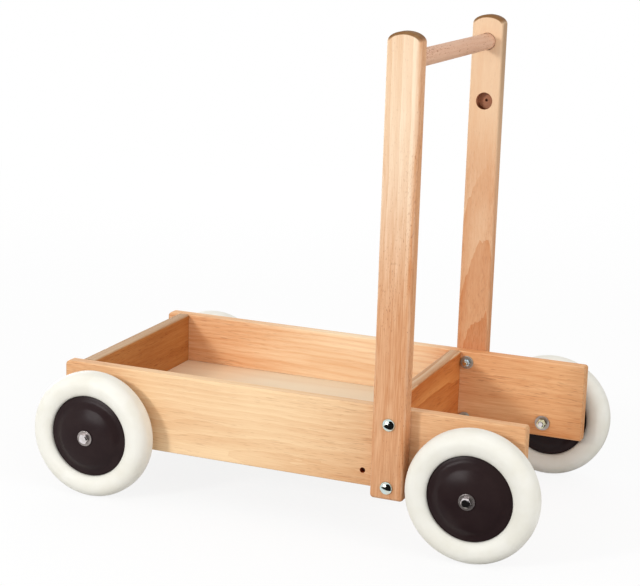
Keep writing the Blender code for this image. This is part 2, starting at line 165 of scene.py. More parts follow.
def weld(name, patches):
    """One closed mesh: shared edges are merged and all faces turned outwards."""
    starts = np.cumsum([0] + [len(points) for points, faces in patches[:-1]])
    points = np.concatenate([points for points, faces in patches])
    faces = []
    for start, (_, corners) in zip(starts, patches):
        faces += (corners + start).tolist()
    mesh = bpy.data.meshes.new(name)
    mesh.from_pydata(points.tolist(), [], faces)
    bm = bmesh.new()
    bm.from_mesh(mesh)
    bmesh.ops.remove_doubles(bm, verts=bm.verts, dist=MERGE)
    bmesh.ops.recalc_face_normals(bm, faces=bm.faces)
    bm.to_mesh(mesh)
    bm.free()
    mesh.shade_smooth()
    mesh.set_sharp_from_angle(angle=CREASE)
    return mesh


def new_object(name, data):
    """An object for a mesh, a lamp or a camera, linked into the scene."""
    made = bpy.data.objects.new(name, data)
    bpy.context.scene.collection.objects.link(made)
    return made


def stand_in(mesh, node, finish):
    """Show the mesh in place of its node, on the body that carries the node."""
    piece = new_object(node + "_piece", mesh)
    mesh.materials.append(finish)
    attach(piece, frame["nodes"][node]["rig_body"])
    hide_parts(node)
    return piece


print("edges that bend by more than", round(math.degrees(CREASE)), "degrees stay sharp")

# %% [markdown]
# ## Outlines
# A planed board is an outline carried along a line, and a turned ring is one
# carried round an axis. Real edges are never knife sharp, so every corner gets
# an arc of its own radius. A bevel modifier would also round them, but it
# spreads the bend of the shading over the flat faces. An extra point close to
# both ends of each arc keeps the flats flat.

# %% Rounded outlines and circles
CORNER_STEPS = 6
CIRCLE_STEPS = 48
LEAD = 0.15 * MM


def rounded(corners, radii, steps=CORNER_STEPS):
    """Outline with each corner replaced by an arc of its own radius, or kept where that is zero.

    The arc touches both edges at radius / tan(half the corner's angle) from the
    corner, and one more point lies a LEAD further out on each edge.
    """
    corners = np.asarray(corners, float)
    radii = np.asarray(radii, float)
    bent = radii > 0
    corner = corners[bent]
    radius = radii[bent, None]
    before = np.roll(corners, 1, axis=0)[bent] - corner
    before /= np.linalg.norm(before, axis=1, keepdims=True)
    after = np.roll(corners, -1, axis=0)[bent] - corner
    after /= np.linalg.norm(after, axis=1, keepdims=True)
    half = np.arccos((before * after).sum(axis=1, keepdims=True)) / 2
    turn = np.pi - 2 * half
    touch = radius / np.tan(half)
    bisector = (before + after) / np.linalg.norm(before + after, axis=1, keepdims=True)
    centre = corner + bisector * radius / np.sin(half)
    start = corner + before * touch - centre
    end = corner + after * touch - centre
    share = np.linspace(0, 1, steps + 1)[:, None, None]
    arcs = centre + (np.sin((1 - share) * turn) * start + np.sin(share * turn) * end) / np.sin(turn)
    lead_in = corner + before * (touch + LEAD)
    lead_out = corner + after * (touch + LEAD)
    stretches = np.stack([lead_in, *arcs, lead_out], axis=1)
    counts = np.where(bent, steps + 3, 1)
    outline = np.repeat(corners, counts, axis=0)
    outline[np.repeat(bent, counts)] = stretches.reshape(-1, 2)
    return outline


def rectangle(low, high):
    """Corners from low to high, counter-clockwise."""
    return np.array([[low[0], low[1]], [high[0], low[1]], [high[0], high[1]], [low[0], high[1]]])


def full_turn(steps):
    """Angles that go once round in equal steps."""
    return np.arange(steps) * 2 * np.pi / steps


def circles(centre, radii, steps=CIRCLE_STEPS):
    """Loops round one centre, one for each radius: centre + radius (cos t, sin t)."""
    turn = full_turn(steps)
    around = np.stack([np.cos(turn), np.sin(turn)], axis=1)
    return np.asarray(centre) + np.asarray(radii)[:, None, None] * around


print("a rounded square has", len(rounded(rectangle((0, 0), (1, 1)), [0.1] * 4)), "points")

# %% [markdown]
# ## Boards
# All the boards are outlines carried along Y, so one function makes them. Each
# ring of a board's wall is the outline drawn in a little, and through a rim the
# rings follow a quarter circle. Drilled holes, blind sockets and the floor's
# groove are openings: loops that pierce a face and lead to a wall and, where
# they are blind, to a bottom. A Boolean would cut them too, but leaves long thin
# faces round each hole.

# %% Slabs with openings
RIM_STEPS = 6


def mitre(outline):
    """At each point, the move that draws both its edges in by one unit.

    It is the sum of the two inward normals over one plus their product.
    """
    along = np.roll(outline, -1, axis=0) - outline
    along /= np.linalg.norm(along, axis=1, keepdims=True)
    after = np.stack([-along[:, 1], along[:, 0]], axis=1)
    before = np.roll(after, 1, axis=0)
    return (before + after) / (1 + (before * after).sum(axis=1, keepdims=True))


def hole(centre, steps, side="through"):
    """A round opening: its steps pair a radius with a depth from the face it starts at."""
    radii, depths = np.array(steps).T
    return side, circles(centre, radii), depths


def slab(outline, near, far, rim=0.0, openings=()):
    """Patches of a board from depth near to depth far.

    Through a rim, inset = rim (1 - sin t) and depth = rim (1 - cos t), for t from
    zero to a right angle.
    """
    turn = np.linspace(0, np.pi / 2, RIM_STEPS + 1)
    inset = np.zeros(1)
    depth = np.zeros(1)
    if rim:
        inset = np.concatenate([[rim + LEAD], rim * (1 - np.sin(turn)), [0.0]])
        depth = np.concatenate([[0.0], rim * (1 - np.cos(turn)), [rim + LEAD]])
    insets = np.concatenate([inset, inset[::-1]])
    depths = np.concatenate([near + depth, far - depth[::-1]])
    loops = outline + insets[:, None, None] * mitre(outline)
    patches = [ring_grid(lift(loops, depths[:, None]))]
    near_loops = [loops[0]]
    far_loops = [loops[-1]]
    for side, edges, steps in openings:
        places = far - steps if side == "far" else near + steps
        patches.append(ring_grid(lift(edges, places[:, None])))
        (far_loops if side == "far" else near_loops).append(edges[0])
        if side == "through":
            far_loops.append(edges[-1])
        else:
            patches.append(flat_fill([edges[-1]], places[-1]))
    return patches + [flat_fill(near_loops, near), flat_fill(far_loops, far)]


print("a plain slab has", len(slab(rectangle((0.0, 0.0), (1.0, 1.0)), 0.0, 0.1)), "patches")

# %% [markdown]
# ## Shader helpers
# A finish is a small network of shader nodes. They could be drawn by hand in
# the shader editor, but then nobody can read how they came about. A few helpers
# keep the code short: they add a node and feed its inputs, do sums, make noise
# that is stretched along an axis, as wood fibre and brush marks are, and step
# or blend between two values. Colours are written as they look on screen and
# turned into the linear values of a shader.

# %% Nodes and colours
def srgb(red, green, blue):
    """A colour as it looks on screen, 0 to 255, as a linear colour with alpha."""
    share = np.array([red, green, blue]) / 255
    linear = np.where(share <= 0.04045, share / 12.92, ((share + 0.055) / 1.055) ** 2.4)
    return (*linear.tolist(), 1.0)


def feed(tree, node, inputs):
    """Give inputs, by name or number, a value each or the socket that drives them."""
    for socket, value in inputs.items():
        if isinstance(value, bpy.types.NodeSocket):
            tree.links.new(value, node.inputs[socket])
        else:
            node.inputs[socket].default_value = value
    return node


def add(tree, kind, inputs, **settings):
    """One node with its settings made and its inputs fed."""
    made = tree.nodes.new("ShaderNode" + kind)
    for name, value in settings.items():
        setattr(made, name, value)
    return feed(tree, made, inputs)


def sums(tree, operation, *values):
    """One Math node."""
    return add(tree, "Math", dict(enumerate(values)), operation=operation).outputs[0]


def noise(tree, place, per_metre, detail=2.0):
    """Noise from 0 to 1, with so many waves per metre along each axis."""
    scaled = add(tree, "VectorMath", {0: place, 1: per_metre}, operation="MULTIPLY").outputs[0]
    return add(tree, "TexNoise", {"Vector": scaled, "Scale": 1.0, "Detail": detail}).outputs[0]


def ramp(tree, value, low, high, to_low=0.0, to_high=1.0):
    """A smooth step from low to high."""
    inputs = {0: value, 1: low, 2: high, 3: to_low, 4: to_high}
    return add(tree, "MapRange", inputs, interpolation_type="SMOOTHSTEP").outputs[0]


def mix(tree, share, first, second, how="MIX"):
    """Blend two colours by a share from 0 to 1."""
    inputs = {0: share, 6: first, 7: second}
    return add(tree, "Mix", inputs, data_type="RGBA", blend_type=how).outputs[2]


print("mid grey on screen is", round(srgb(128, 128, 128)[0], 3), "in a shader")

# %% [markdown]
# An effect that several finishes share is built once, as a node group, and then
# placed in each of them with its own values. Copying the nodes into every
# material would work too, but a change would have to be made in each copy. A
# group gives a colour, a roughness and sometimes a relief. What is the same all
# over a piece, such as how metallic it is, is set on the shader itself.

# %% Groups and materials
SKIN = {"Color": "Color", "Roughness": "Float", "Height": "Float"}


def start_group(name, inputs, outputs):
    """An empty node group with named sockets, its input node and its output node."""
    group = bpy.data.node_groups.new(name, "ShaderNodeTree")
    for way, sockets in (("INPUT", inputs), ("OUTPUT", outputs)):
        for socket, kind in sockets.items():
            group.interface.new_socket(name=socket, in_out=way, socket_type="NodeSocket" + kind)
    return group, group.nodes.new("NodeGroupInput"), group.nodes.new("NodeGroupOutput")


def place_group(tree, group, inputs):
    """A node group with its inputs fed."""
    made = tree.nodes.new("ShaderNodeGroup")
    made.node_tree = group
    return feed(tree, made, inputs)


def start_material(name):
    """A material, its nodes and its Principled shader."""
    material = bpy.data.materials.new(name)
    material.use_nodes = True
    return material, material.node_tree, material.node_tree.nodes["Principled BSDF"]


def own_place(tree):
    """Where a point lies in the object's own coordinates, in metres."""
    return add(tree, "TexCoord", {}).outputs["Object"]


def dress(tree, shader, skin, strength, relief, specular):
    """Feed a group's colour, roughness and height to the shader, the height as a bump."""
    heights = {"Height": skin.outputs["Height"], "Strength": strength, "Distance": relief}
    bump = add(tree, "Bump", heights).outputs[0]
    feed(tree, shader, {"Base Color": skin.outputs["Color"], "Roughness": skin.outputs["Roughness"],
                        "Normal": bump, "Specular IOR Level": specular})


print("a skin puts out", ", ".join(SKIN))

# %% [markdown]
# ## Beech
# Beech is pale pinkish brown, with a soft line where each year's growth ends
# and thousands of short dark flecks, the ends of its rays. A picture of a plank
# would show the same face on every board. Here the wood is solid instead: the
# growth rings are cylinders round the heart of the tree, a little wavy, and
# each board is sawn from its own place beside the heart. So faces, edges and
# arched tops all show the right cut of the same timber. Where the saw runs
# nearly along the rings, the years widen into flames with one sharp edge.

# %% Counting the years
RING_WANDER = 16 * MM
RING_RIPPLE = 5 * MM
# Rates of noise are waves per metre, along the fibres and across them.
WANDER_RATE = (3, 18, 18)
RIPPLE_RATE = (15, 45, 45)


def count_years(group, enter):
    """Years grown since the heart: the distance from it plus two waves of noise, over the ring width."""
    place = enter.outputs["Place"]
    across = add(group, "VectorMath", {0: place, 1: (0, 1, 1)}, operation="MULTIPLY").outputs[0]
    distance = add(group, "VectorMath", {0: across}, operation="LENGTH").outputs["Value"]
    for rate, most in ((WANDER_RATE, RING_WANDER), (RIPPLE_RATE, RING_RIPPLE)):
        reach = sums(group, "MULTIPLY", enter.outputs["Wild"], most)
        distance = sums(group, "MULTIPLY_ADD", noise(group, place, rate, 1.0), reach, distance)
    return sums(group, "DIVIDE", distance, enter.outputs["Ring"])


print("rings stray by up to", round((RING_WANDER + RING_RIPPLE) / MM), "mm")

# %% [markdown]
# The tone of the wood is a sum. A rounded wave of the years darkens the end of
# each one, a slow noise makes some years darker than others, a saw-tooth of the
# years gives the flames, and bands, streaks, fibres and clouds lie over them
# all. A colour ramp on one noise would be simpler, but it gives every face the
# same stripes.

# %% The tone of the wood
LATE_POWER = 3.0
SEASON_RATE = 0.45
MEAN_TONE = 0.45
FLAME_TEETH = 0.18
TEETH_RATE = (25, 320, 320)
BAND_RATE = (3, 50, 50)
CLOUD_RATE = (5, 26, 26)
STREAK_SHARE = 0.5
CLOUD_SHARE = 0.8


def wood_tone(group, enter, years, fine, streak, fibre):
    """A mean plus each part less a half, times its weight.

    The parts are ((1 - cos(2 pi years)) / 2) to a power, a noise of the years, the fraction
    of the years with toothed edges, and noises that are stretched along the fibres.
    """
    place = enter.outputs["Place"]
    swing = sums(group, "COSINE", sums(group, "MULTIPLY", years, 2 * math.pi))
    late = sums(group, "POWER", sums(group, "MULTIPLY_ADD", swing, -0.5, 0.5), LATE_POWER)
    slow = sums(group, "MULTIPLY", years, SEASON_RATE)
    season = add(group, "TexNoise", {"W": slow, "Scale": 1.0}, noise_dimensions="1D").outputs[0]
    teeth = noise(group, place, TEETH_RATE, 1.0)
    flame = sums(group, "FRACT", sums(group, "MULTIPLY_ADD", teeth, FLAME_TEETH, years))
    parts = [(late, enter.outputs["Contrast"]), (season, enter.outputs["Contrast"]),
             (noise(group, place, BAND_RATE, 2.0), enter.outputs["Bands"]),
             (flame, enter.outputs["Flame"]),
             (streak, sums(group, "MULTIPLY", fine, STREAK_SHARE)), (fibre, fine),
             (noise(group, place, CLOUD_RATE, 1.0), CLOUD_SHARE)]
    tone = MEAN_TONE
    for part, weight in parts:
        tone = sums(group, "MULTIPLY_ADD", sums(group, "SUBTRACT", part, 0.5), weight, tone)
    return tone


print("mean tone:", MEAN_TONE, "of the way from pale to deep")

# %% [markdown]
# The tone blends a pale and a deep colour. Flecks, a tint, rubbed edges, cut
# ends and darker bores are laid over it, each where its own mask says so. The
# tint is partly the wood's own colour and partly painted shade, and a top it
# leaves off is paler as a painted sheen. The cut-end tint also lays painted
# shade on the posts' hind sides, and the bores are partly raw grain and partly
# painted shade. They could be painted on by hand, but a mask fits every board.
# Where the tint is strong the fine figure is strong, and where it is pale it
# is calm.

# %% The beech figure
STREAK_RATE = (10, 360, 360)
FIBRE_RATE = (40, 950, 950)
CLUSTER_RATE = (9, 55, 55)
RUB_RATE = (30, 260, 260)
CALM = 0.3
CLUSTER_SHARE = 0.35
FLECK_FROM, FLECK_TO = 0.78, 0.92
FLECK_PIT = -0.6
RUB_FROM, RUB_TO = 0.4, 0.62
WOOD_ROUGH, STREAK_ROUGH, END_ROUGH = 0.42, 0.25, 0.12
END_TINT = srgb(146, 124, 96)
FLECK_TINT = srgb(170, 116, 84)
# Darker walls of holes: partly the raw drilled grain, partly painted shade in the holes.
BORE_TINT = srgb(168, 84, 30)
BEECH_INPUTS = {"Place": "Vector", "Pale": "Color", "Deep": "Color", "Ring": "Float", "Contrast": "Float",
                "Bands": "Float", "Fine": "Float", "Flecks": "Float", "Flame": "Float", "Warmth And Painted Light": "Float",
                "Tint": "Color", "Wear": "Float", "End": "Float", "Bore": "Float", "Wild": "Float",
                "Fleck Rate": "Vector"}


def build_beech_figure():
    """The node group for solid beech, whose fibres run along X round a heart at Y = Z = 0.

    Flecks are the peaks of a short stretched noise, more of them in some places than in
    others. Each tint multiplies the colour by its mask.
    """
    group, enter, leave = start_group("beech_figure", BEECH_INPUTS, SKIN)
    given = enter.outputs
    place = given["Place"]
    alive = add(group, "MapRange", {0: given["Warmth And Painted Light"], 3: CALM, 4: 1.0}).outputs[0]
    fine = sums(group, "MULTIPLY", alive, given["Fine"])
    streak = noise(group, place, STREAK_RATE, 3.0)
    fibre = noise(group, place, FIBRE_RATE, 2.0)
    tone = wood_tone(group, enter, count_years(group, enter), fine, streak, fibre)
    cluster = noise(group, place, CLUSTER_RATE, 1.0)
    dash = sums(group, "MULTIPLY_ADD", cluster, CLUSTER_SHARE, noise(group, place, given["Fleck Rate"], 1.0))
    fleck = ramp(group, dash, FLECK_FROM, FLECK_TO)
    flecked = sums(group, "MULTIPLY", fleck, sums(group, "MULTIPLY", alive, given["Flecks"]))
    rubbed = ramp(group, noise(group, place, RUB_RATE, 2.0), RUB_FROM, RUB_TO)

    colour = mix(group, tone, given["Pale"], given["Deep"])
    colour = mix(group, flecked, colour, FLECK_TINT, "MULTIPLY")
    # The tint: partly the wood's own colour, partly painted shade, and a painted sheen where it is left off.
    colour = mix(group, given["Warmth And Painted Light"], colour, given["Tint"], "MULTIPLY")
    colour = mix(group, sums(group, "MULTIPLY", rubbed, given["Wear"]), colour, given["Pale"])
    # Cut ends darken, and through the same input so does the painted shade on the posts' hind sides.
    colour = mix(group, given["End"], colour, END_TINT, "MULTIPLY")
    colour = mix(group, given["Bore"], colour, BORE_TINT, "MULTIPLY")
    rough = sums(group, "MULTIPLY_ADD", streak, STREAK_ROUGH, WOOD_ROUGH)
    rough = sums(group, "MULTIPLY_ADD", given["End"], END_ROUGH, rough)
    relief = sums(group, "MULTIPLY_ADD", fleck, FLECK_PIT, fibre)
    feed(group, leave, {"Color": colour, "Roughness": rough, "Height": relief})
    return group


beech_figure = build_beech_figure()
print("beech figure:", len(beech_figure.nodes), "nodes")

# %% [markdown]
# The figure's fibres run along X, so each board's finish first turns its own
# coordinates until its grain lies that way, and then moves them to the place
# beside the heart where the board was sawn. A figure for each direction would
# do too, but with three times the nodes. Boards from one tree still differ from
# end to end, so a finish may also say between which places along an axis its
# wood grows warmer or shows flames. The same places also lay painted shade and
# sheen: a tint where shade falls, a paler top, and darker hind sides on the
# posts.

# %% Finishes of beech
GRAIN_TURN = {"X": (0.0, 0.0, 0.0), "Y": (0.0, 0.0, -math.pi / 2), "Z": (0.0, math.pi / 2, 0.0)}
MARKS = ["end_grain", "bore", "rim"]
WARM_AND_SHADE_TINT = srgb(225, 188, 161)
CUT_FULL = 0.8
EDGE_WEAR = 0.2
WOOD_BUMP = 0.5
WOOD_RELIEF = 0.06 * MM
WOOD_SPECULAR = 0.14
FLECK_RATE = (75, 1500, 1300)


def beech(name, grain, sawn_at, pale, deep, figure, warmth_and_painted_light=(), tint=WARM_AND_SHADE_TINT, end_strength=0.5,
          lean=0.0, flame=None, wild=1.0, fleck_rate=FLECK_RATE, painted_shade=None):
    """A finish for one board, sawn at a place beside the heart.

    The figure lists the ring width and how strong rings, bands, fibres and flecks are. Wild
    is how far the rings stray, and lean turns them a little out of the board's length. Each
    item of warmth_and_painted_light gives an axis, two places on it between which the wood
    takes on the tint, and how much: partly the wood's own colour and partly painted shade,
    while a top left without it is a painted sheen. Flame is such an item for the saw-tooth.
    The painted_shade argument gives a strength and reaches, an axis and two places each,
    whose steps are multiplied: it is painted shade, laid on with the tint and roughness of a
    cut end.
    """
    material, tree, shader = start_material(name)
    local = own_place(tree)
    axes = add(tree, "SeparateXYZ", {0: local}).outputs
    turn = Vector(GRAIN_TURN[grain]) + Vector((0, 0, lean))
    turned = add(tree, "Mapping", {"Vector": local, "Rotation": turn}).outputs[0]
    sawn = add(tree, "VectorMath", {0: turned, 1: sawn_at}, operation="ADD").outputs[0]
    cut, bore, rim = [add(tree, "Attribute", {}, attribute_name=mark).outputs["Fac"] for mark in MARKS]
    end = ramp(tree, cut, 0.0, CUT_FULL, 0.0, end_strength)
    # Painted shade: darker where the steps of all its reaches meet, laid on as a cut end is.
    if painted_shade:
        dark, *reaches = painted_shade
        for axis, lit_at, shaded_at in reaches:
            dark = sums(tree, "MULTIPLY", ramp(tree, axes[axis], lit_at, shaded_at), dark)
        end = sums(tree, "MAXIMUM", end, dark)
    # The tint's mask: partly the wood's own colour, partly painted shade and a painted sheen.
    warm_and_painted_light = 0.0
    for axis, pale_at, warm_at, strength in warmth_and_painted_light:
        warm_and_painted_light = sums(tree, "ADD", ramp(tree, axes[axis], pale_at, warm_at, 0.0, strength), warm_and_painted_light)
    flames = 0.0
    if flame:
        axis, faint_at, strong_at, strength = flame
        flames = ramp(tree, axes[axis], faint_at, strong_at, 0.0, strength)
    ring, contrast, bands, fine, flecks = figure
    wood = place_group(tree, beech_figure, {
        "Place": sawn, "Pale": pale, "Deep": deep, "Ring": ring, "Contrast": contrast, "Bands": bands,
        "Fine": fine, "Flecks": flecks, "Flame": flames, "Warmth And Painted Light": warm_and_painted_light, "Tint": tint,
        "Wear": sums(tree, "MULTIPLY", rim, EDGE_WEAR), "End": end, "Bore": bore, "Wild": wild,
        "Fleck Rate": fleck_rate})
    dress(tree, shader, wood, WOOD_BUMP, WOOD_RELIEF, WOOD_SPECULAR)
    return material


print("each board carries the marks", ", ".join(MARKS))

# %% [markdown]
# End grain, bores and rubbed rims can't be read from coordinates: they depend
# on which way a face points and on where it lies in the piece. So each wooden
# mesh carries an attribute for each of them. A second material on those faces
# would do as well, but it ends in a hard line.

# %% Marks on the wood
GRAIN_AXIS = {"X": (1, 0, 0), "Y": (0, 1, 0), "Z": (0, 0, 1)}
HOLE_SOFTENING = 0.3 * MM
FACE_EDGE = 0.3


def wooden(mesh, grain, bores=(), flat="Y", foot=1.0):
    """Mark the end grain, the bores and the rims at every face corner.

    With b the share of the normal along the flat axis, out of the broad faces, and
    e = sqrt(1 - b b), the rim is 2 b e, which peaks half way round an edge. The end grain is the
    normal's share along the fibres over e, or over FACE_EDGE where e is less, times foot at the
    lower end. A bore gives its centre, its radius and how dark its wall is.
    """
    normals = np.empty(len(mesh.loops) * 3, np.float32)
    mesh.corner_normals.foreach_get("vector", normals)
    normals = normals.reshape(-1, 3)
    along = normals @ np.array(GRAIN_AXIS[grain], np.float32)
    broad = np.abs(normals @ np.array(GRAIN_AXIS[flat], np.float32))
    edgewise = np.sqrt(np.clip(1 - broad ** 2, 0, None))
    cut = np.abs(along) / np.maximum(edgewise, FACE_EDGE) * np.where(along < 0, foot, 1.0)
    points = np.empty(len(mesh.vertices) * 3, np.float32)
    mesh.vertices.foreach_get("co", points)
    owners = np.empty(len(mesh.loops), np.int32)
    mesh.loops.foreach_get("vertex_index", owners)
    places = points.reshape(-1, 3)[owners][:, [0, 2]]
    bored = np.zeros(len(cut), np.float32)
    for centre, radius, darkness in bores:
        away = np.linalg.norm(places - centre, axis=1)
        bored = np.where(away < radius + HOLE_SOFTENING / 2, darkness, bored)
    for mark, values in zip(MARKS, (cut, bored, 2 * broad * edgewise)):
        layer = mesh.attributes.new(mark, "FLOAT", "CORNER")
        layer.data.foreach_set("value", values.astype(np.float32))
    return mesh


print("a bore's shade ends", HOLE_SOFTENING / 2 / MM, "mm outside its wall")

# %% [markdown]
# ## Holes
# The boards are drilled for the bolts, right through and softened at both
# mouths, and for the dowels, which end blind. Their places could be typed in
# again, but each hole takes its place and size from the piece that goes into
# it, plus a hair of play, so nothing is measured twice.

# %% Holes for bolts and dowels
HOLE_PLAY = 0.3 * MM


def middle_of(node):
    """Centre of a node's box."""
    low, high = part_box(node)
    return np.array((low + high) / 2)


def drilled(centre, radius, thickness):
    """A hole right through, softened where it comes out on both sides."""
    soft = HOLE_SOFTENING
    steps = [(radius + soft, 0.0), (radius, soft), (radius, thickness - soft), (radius + soft, thickness)]
    return hole(centre, steps)


def shank_hole(node, radius, thickness):
    """The through hole for the bolt that a node stands for."""
    return drilled(middle_of(node)[[0, 2]], radius + HOLE_PLAY, thickness)


def rod_radius(node):
    """Radius of a round node that lies along Y."""
    low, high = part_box(node)
    return (high.z - low.z) / 2


def depth_from(face, node, low, high):
    """How far a node reaches into a board, from the board's near or far face."""
    node_low, node_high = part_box(node)
    return node_high.y - low.y if face == "near" else high.y - node_low.y


def dowel_socket(dowel, face, low, high):
    """The blind hole for a dowel, from one face of a board."""
    depth = depth_from(face, dowel, low, high) + HOLE_PLAY
    radius = rod_radius(dowel) + HOLE_PLAY
    return hole(middle_of(dowel)[[0, 2]], [(radius, 0.0), (radius, depth)], face)


print("a dowel is", round(2 * rod_radius("front_left_upper_dowel") / MM, 1), "mm thick")

# %% [markdown]
# ## Side boards
# Two long boards on edge carry everything: the axle bolts, the uprights' bolts,
# the dowels of the cross boards and the floor, which sits in a groove. One hole
# on each is spare: bolted there, the handle leans back. A scaled cube would
# have the size but none of the holes, so each board is a slab with openings.

# %% Side boards
BOARD_RIM = 1.5 * MM
FRONT_CORNER = 5.0 * MM
REAR_CORNER = 3.5 * MM
LOWER_CORNER = 2.0 * MM
BOLT_SHANK = 2.5 * MM
AXLE_SHANK = 3.0 * MM
FLOOR_PLAY = 0.3 * MM
HANDLE_LEAN = math.radians(29.2)
ENDS = ["front", "rear"]
ROWS = ["upper", "lower"]
INNER_FACE = {"left": "far", "right": "near"}
floor_low, floor_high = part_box("floor_panel")
board_finish = {
    # The near board's tint towards its rear is partly its own tone and partly painted shade beside the post;
    # its front end is tinted too.
    "left": beech("beech_left_side", "X", (0.30, 0.190, -0.062), srgb(247, 216, 173), srgb(218, 166, 118),
                  (4.8 * MM, 0.05, 0.5, 1.6, 0.65), end_strength=0.2,
                  warmth_and_painted_light=[("X", -0.05, 0.24, 0.6), ("X", -0.15, -0.24, 0.5)], flame=("X", 0.5, 0.4, 0.22)),
    # The far board's tint at both ends is partly its own tone and partly painted shade in the corners by the
    # cross boards.
    "right": beech("beech_right_side", "X", (2.00, -0.065, -0.050), srgb(254, 234, 200), srgb(228, 178, 130),
                   (5.0 * MM, 0.2, 1.3, 1.4, 0.5), end_strength=0.3,
                   warmth_and_painted_light=[("X", 0.0, -0.24, 0.6), ("X", 0.06, 0.13, 0.85)], tint=srgb(236, 192, 154)),
}


def floor_groove(face, low, high):
    """The groove that houses the floor, as a blind opening in one face of a board."""
    edge = rectangle((floor_low.x - FLOOR_PLAY, floor_low.z - FLOOR_PLAY),
                     (floor_high.x + FLOOR_PLAY, floor_high.z + FLOOR_PLAY))
    depth = depth_from(face, "floor_panel", low, high) + FLOOR_PLAY
    return face, np.stack([edge, edge]), np.array([0.0, depth])


for name, inner in INNER_FACE.items():
    node = f"{name}_side_board"
    low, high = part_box(node)
    thickness = high.y - low.y
    corners = rectangle((low.x, low.z), (high.x, high.z))
    outline = rounded(corners, [LOWER_CORNER, LOWER_CORNER, REAR_CORNER, FRONT_CORNER])
    openings = [shank_hole(f"{end}_{name}_axle_bolt", AXLE_SHANK, thickness) for end in ENDS]
    openings += [shank_hole(f"{name}_{row}_carriage_bolt", BOLT_SHANK, thickness) for row in ROWS]
    upper, lower = (middle_of(f"{name}_{row}_carriage_bolt")[[0, 2]] for row in ROWS)
    reach = upper[1] - lower[1]
    spare = upper - reach * np.array([math.sin(HANDLE_LEAN), math.cos(HANDLE_LEAN)])
    openings.append(drilled(spare, BOLT_SHANK + HOLE_PLAY, thickness))
    openings += [dowel_socket(f"{end}_{name}_{row}_dowel", inner, low, high) for end in ENDS for row in ROWS]
    openings.append(floor_groove(inner, low, high))
    mesh = weld(node, slab(outline, low.y, high.y, BOARD_RIM, openings))
    # The spare hole's wall takes the full hole tint: partly raw grain, partly painted shade.
    bores = [(spare, BOLT_SHANK + HOLE_PLAY, 1.0)]
    stand_in(wooden(mesh, "X", bores), node, board_finish[name])
    print(node, len(mesh.polygons), "faces,", len(openings), "openings")

# %% [markdown]
# ## Cross boards
# The front and rear boards run between the side boards. Their section has four
# softened edges and the groove for the floor, and it is the same all along Y,
# so it is carried from end to end as one slab. The groove could be cut out of a
# plain board, but as part of the section it needs no second solid. The square
# ends butt against the side boards, where two dowels hide in each joint.

# %% Cross boards
# The top few millimetres are left without the tint, so they are paler: a painted sheen.
SHEEN_START, SHEEN_DEPTH = 0.3 * MM, 2.5 * MM
OUTER_FACE = {"left": "near", "right": "far"}
top_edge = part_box("front_cross_board")[1].z
painted_top_sheen = [("Z", top_edge - SHEEN_START, top_edge - SHEEN_DEPTH, 1.0)]
# Both cross boards are darker and more orange than the side boards: partly their own tone, partly painted
# shade on faces that lie in shade.
cross_finish = {
    "front": beech("beech_front_cross", "Y", (4.15, 0.02, 0.11), srgb(207, 178, 143), srgb(164, 112, 69),
                   (7.0 * MM, 0.1, 0.8, 0.7, 0.5), painted_top_sheen, srgb(236, 192, 140)),
    "rear": beech("beech_rear_cross", "Y", (5.35, -0.27, -0.02), srgb(213, 183, 148), srgb(178, 120, 72),
                  (9.0 * MM, 0.1, 0.6, 0.8, 0.5), painted_top_sheen, srgb(255, 194, 135),
                  flame=("Z", 0.3, 0.2, 0.6)),
}
for end, finish in cross_finish.items():
    node = f"{end}_cross_board"
    low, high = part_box(node)
    face = high.x if end == "front" else low.x
    deep = floor_low.x - FLOOR_PLAY if end == "front" else floor_high.x + FLOOR_PLAY
    notch = [(face, floor_low.z - FLOOR_PLAY), (deep, floor_low.z - FLOOR_PLAY),
             (deep, floor_high.z + FLOOR_PLAY), (face, floor_high.z + FLOOR_PLAY)]
    soft = rectangle((low.x, low.z), (high.x, high.z)).tolist()
    if end == "front":
        corners = soft[:2] + notch + soft[2:]
        radii = [BOARD_RIM] * 2 + [0.0] * 4 + [BOARD_RIM] * 2
    else:
        corners = soft + notch[::-1]
        radii = [BOARD_RIM] * 4 + [0.0] * 4
    openings = [dowel_socket(f"{end}_{name}_{row}_dowel", outer, low, high)
                for name, outer in OUTER_FACE.items() for row in ROWS]
    mesh = weld(node, slab(rounded(corners, radii), low.y, high.y, 0.0, openings))
    stand_in(wooden(mesh, "Y", flat="X"), node, finish)
    print(node, len(mesh.polygons), "faces")

# %% [markdown]
# ## Uprights
# Each upright is a flat post with an arched top and softened edges. Its inner
# face has two blind sockets for the bar, one of them spare, and each socket
# keeps the small pit that the drill's centre point leaves. The arch is half an
# ellipse, so one formula gives all its points, where a bevelled block would
# only round the corners.

# %% Outline and sockets of a post
FOOT_CORNER = 4.0 * MM
ARCH_HEIGHT = 10.3 * MM
ARCH_STEPS = 48
SOCKET_DEPTH = 9.5 * MM
PIT_RADIUS = 1.7 * MM
PIT_DEPTH = 4.0 * MM
PIT_TIP = 1.5 * MM


def post_outline(low, high):
    """Softened foot, straight sides and an elliptic arch, counter-clockwise from the foot.

    Along the arch, x = middle + half cos t and z = spring + height sin t.
    """
    half = (high.x - low.x) / 2
    middle = (high.x + low.x) / 2
    spring = high.z - ARCH_HEIGHT
    turn = np.linspace(0, np.pi, ARCH_STEPS + 1)
    arch = np.stack([middle + half * np.cos(turn), spring + ARCH_HEIGHT * np.sin(turn)], axis=1)
    foot = np.array([[low.x, low.z], [high.x, low.z], [high.x, spring - LEAD]])
    corners = np.vstack([foot, arch, [[low.x, spring - LEAD]]])
    return rounded(corners, [FOOT_CORNER] * 2 + [0.0] * (len(corners) - 2))


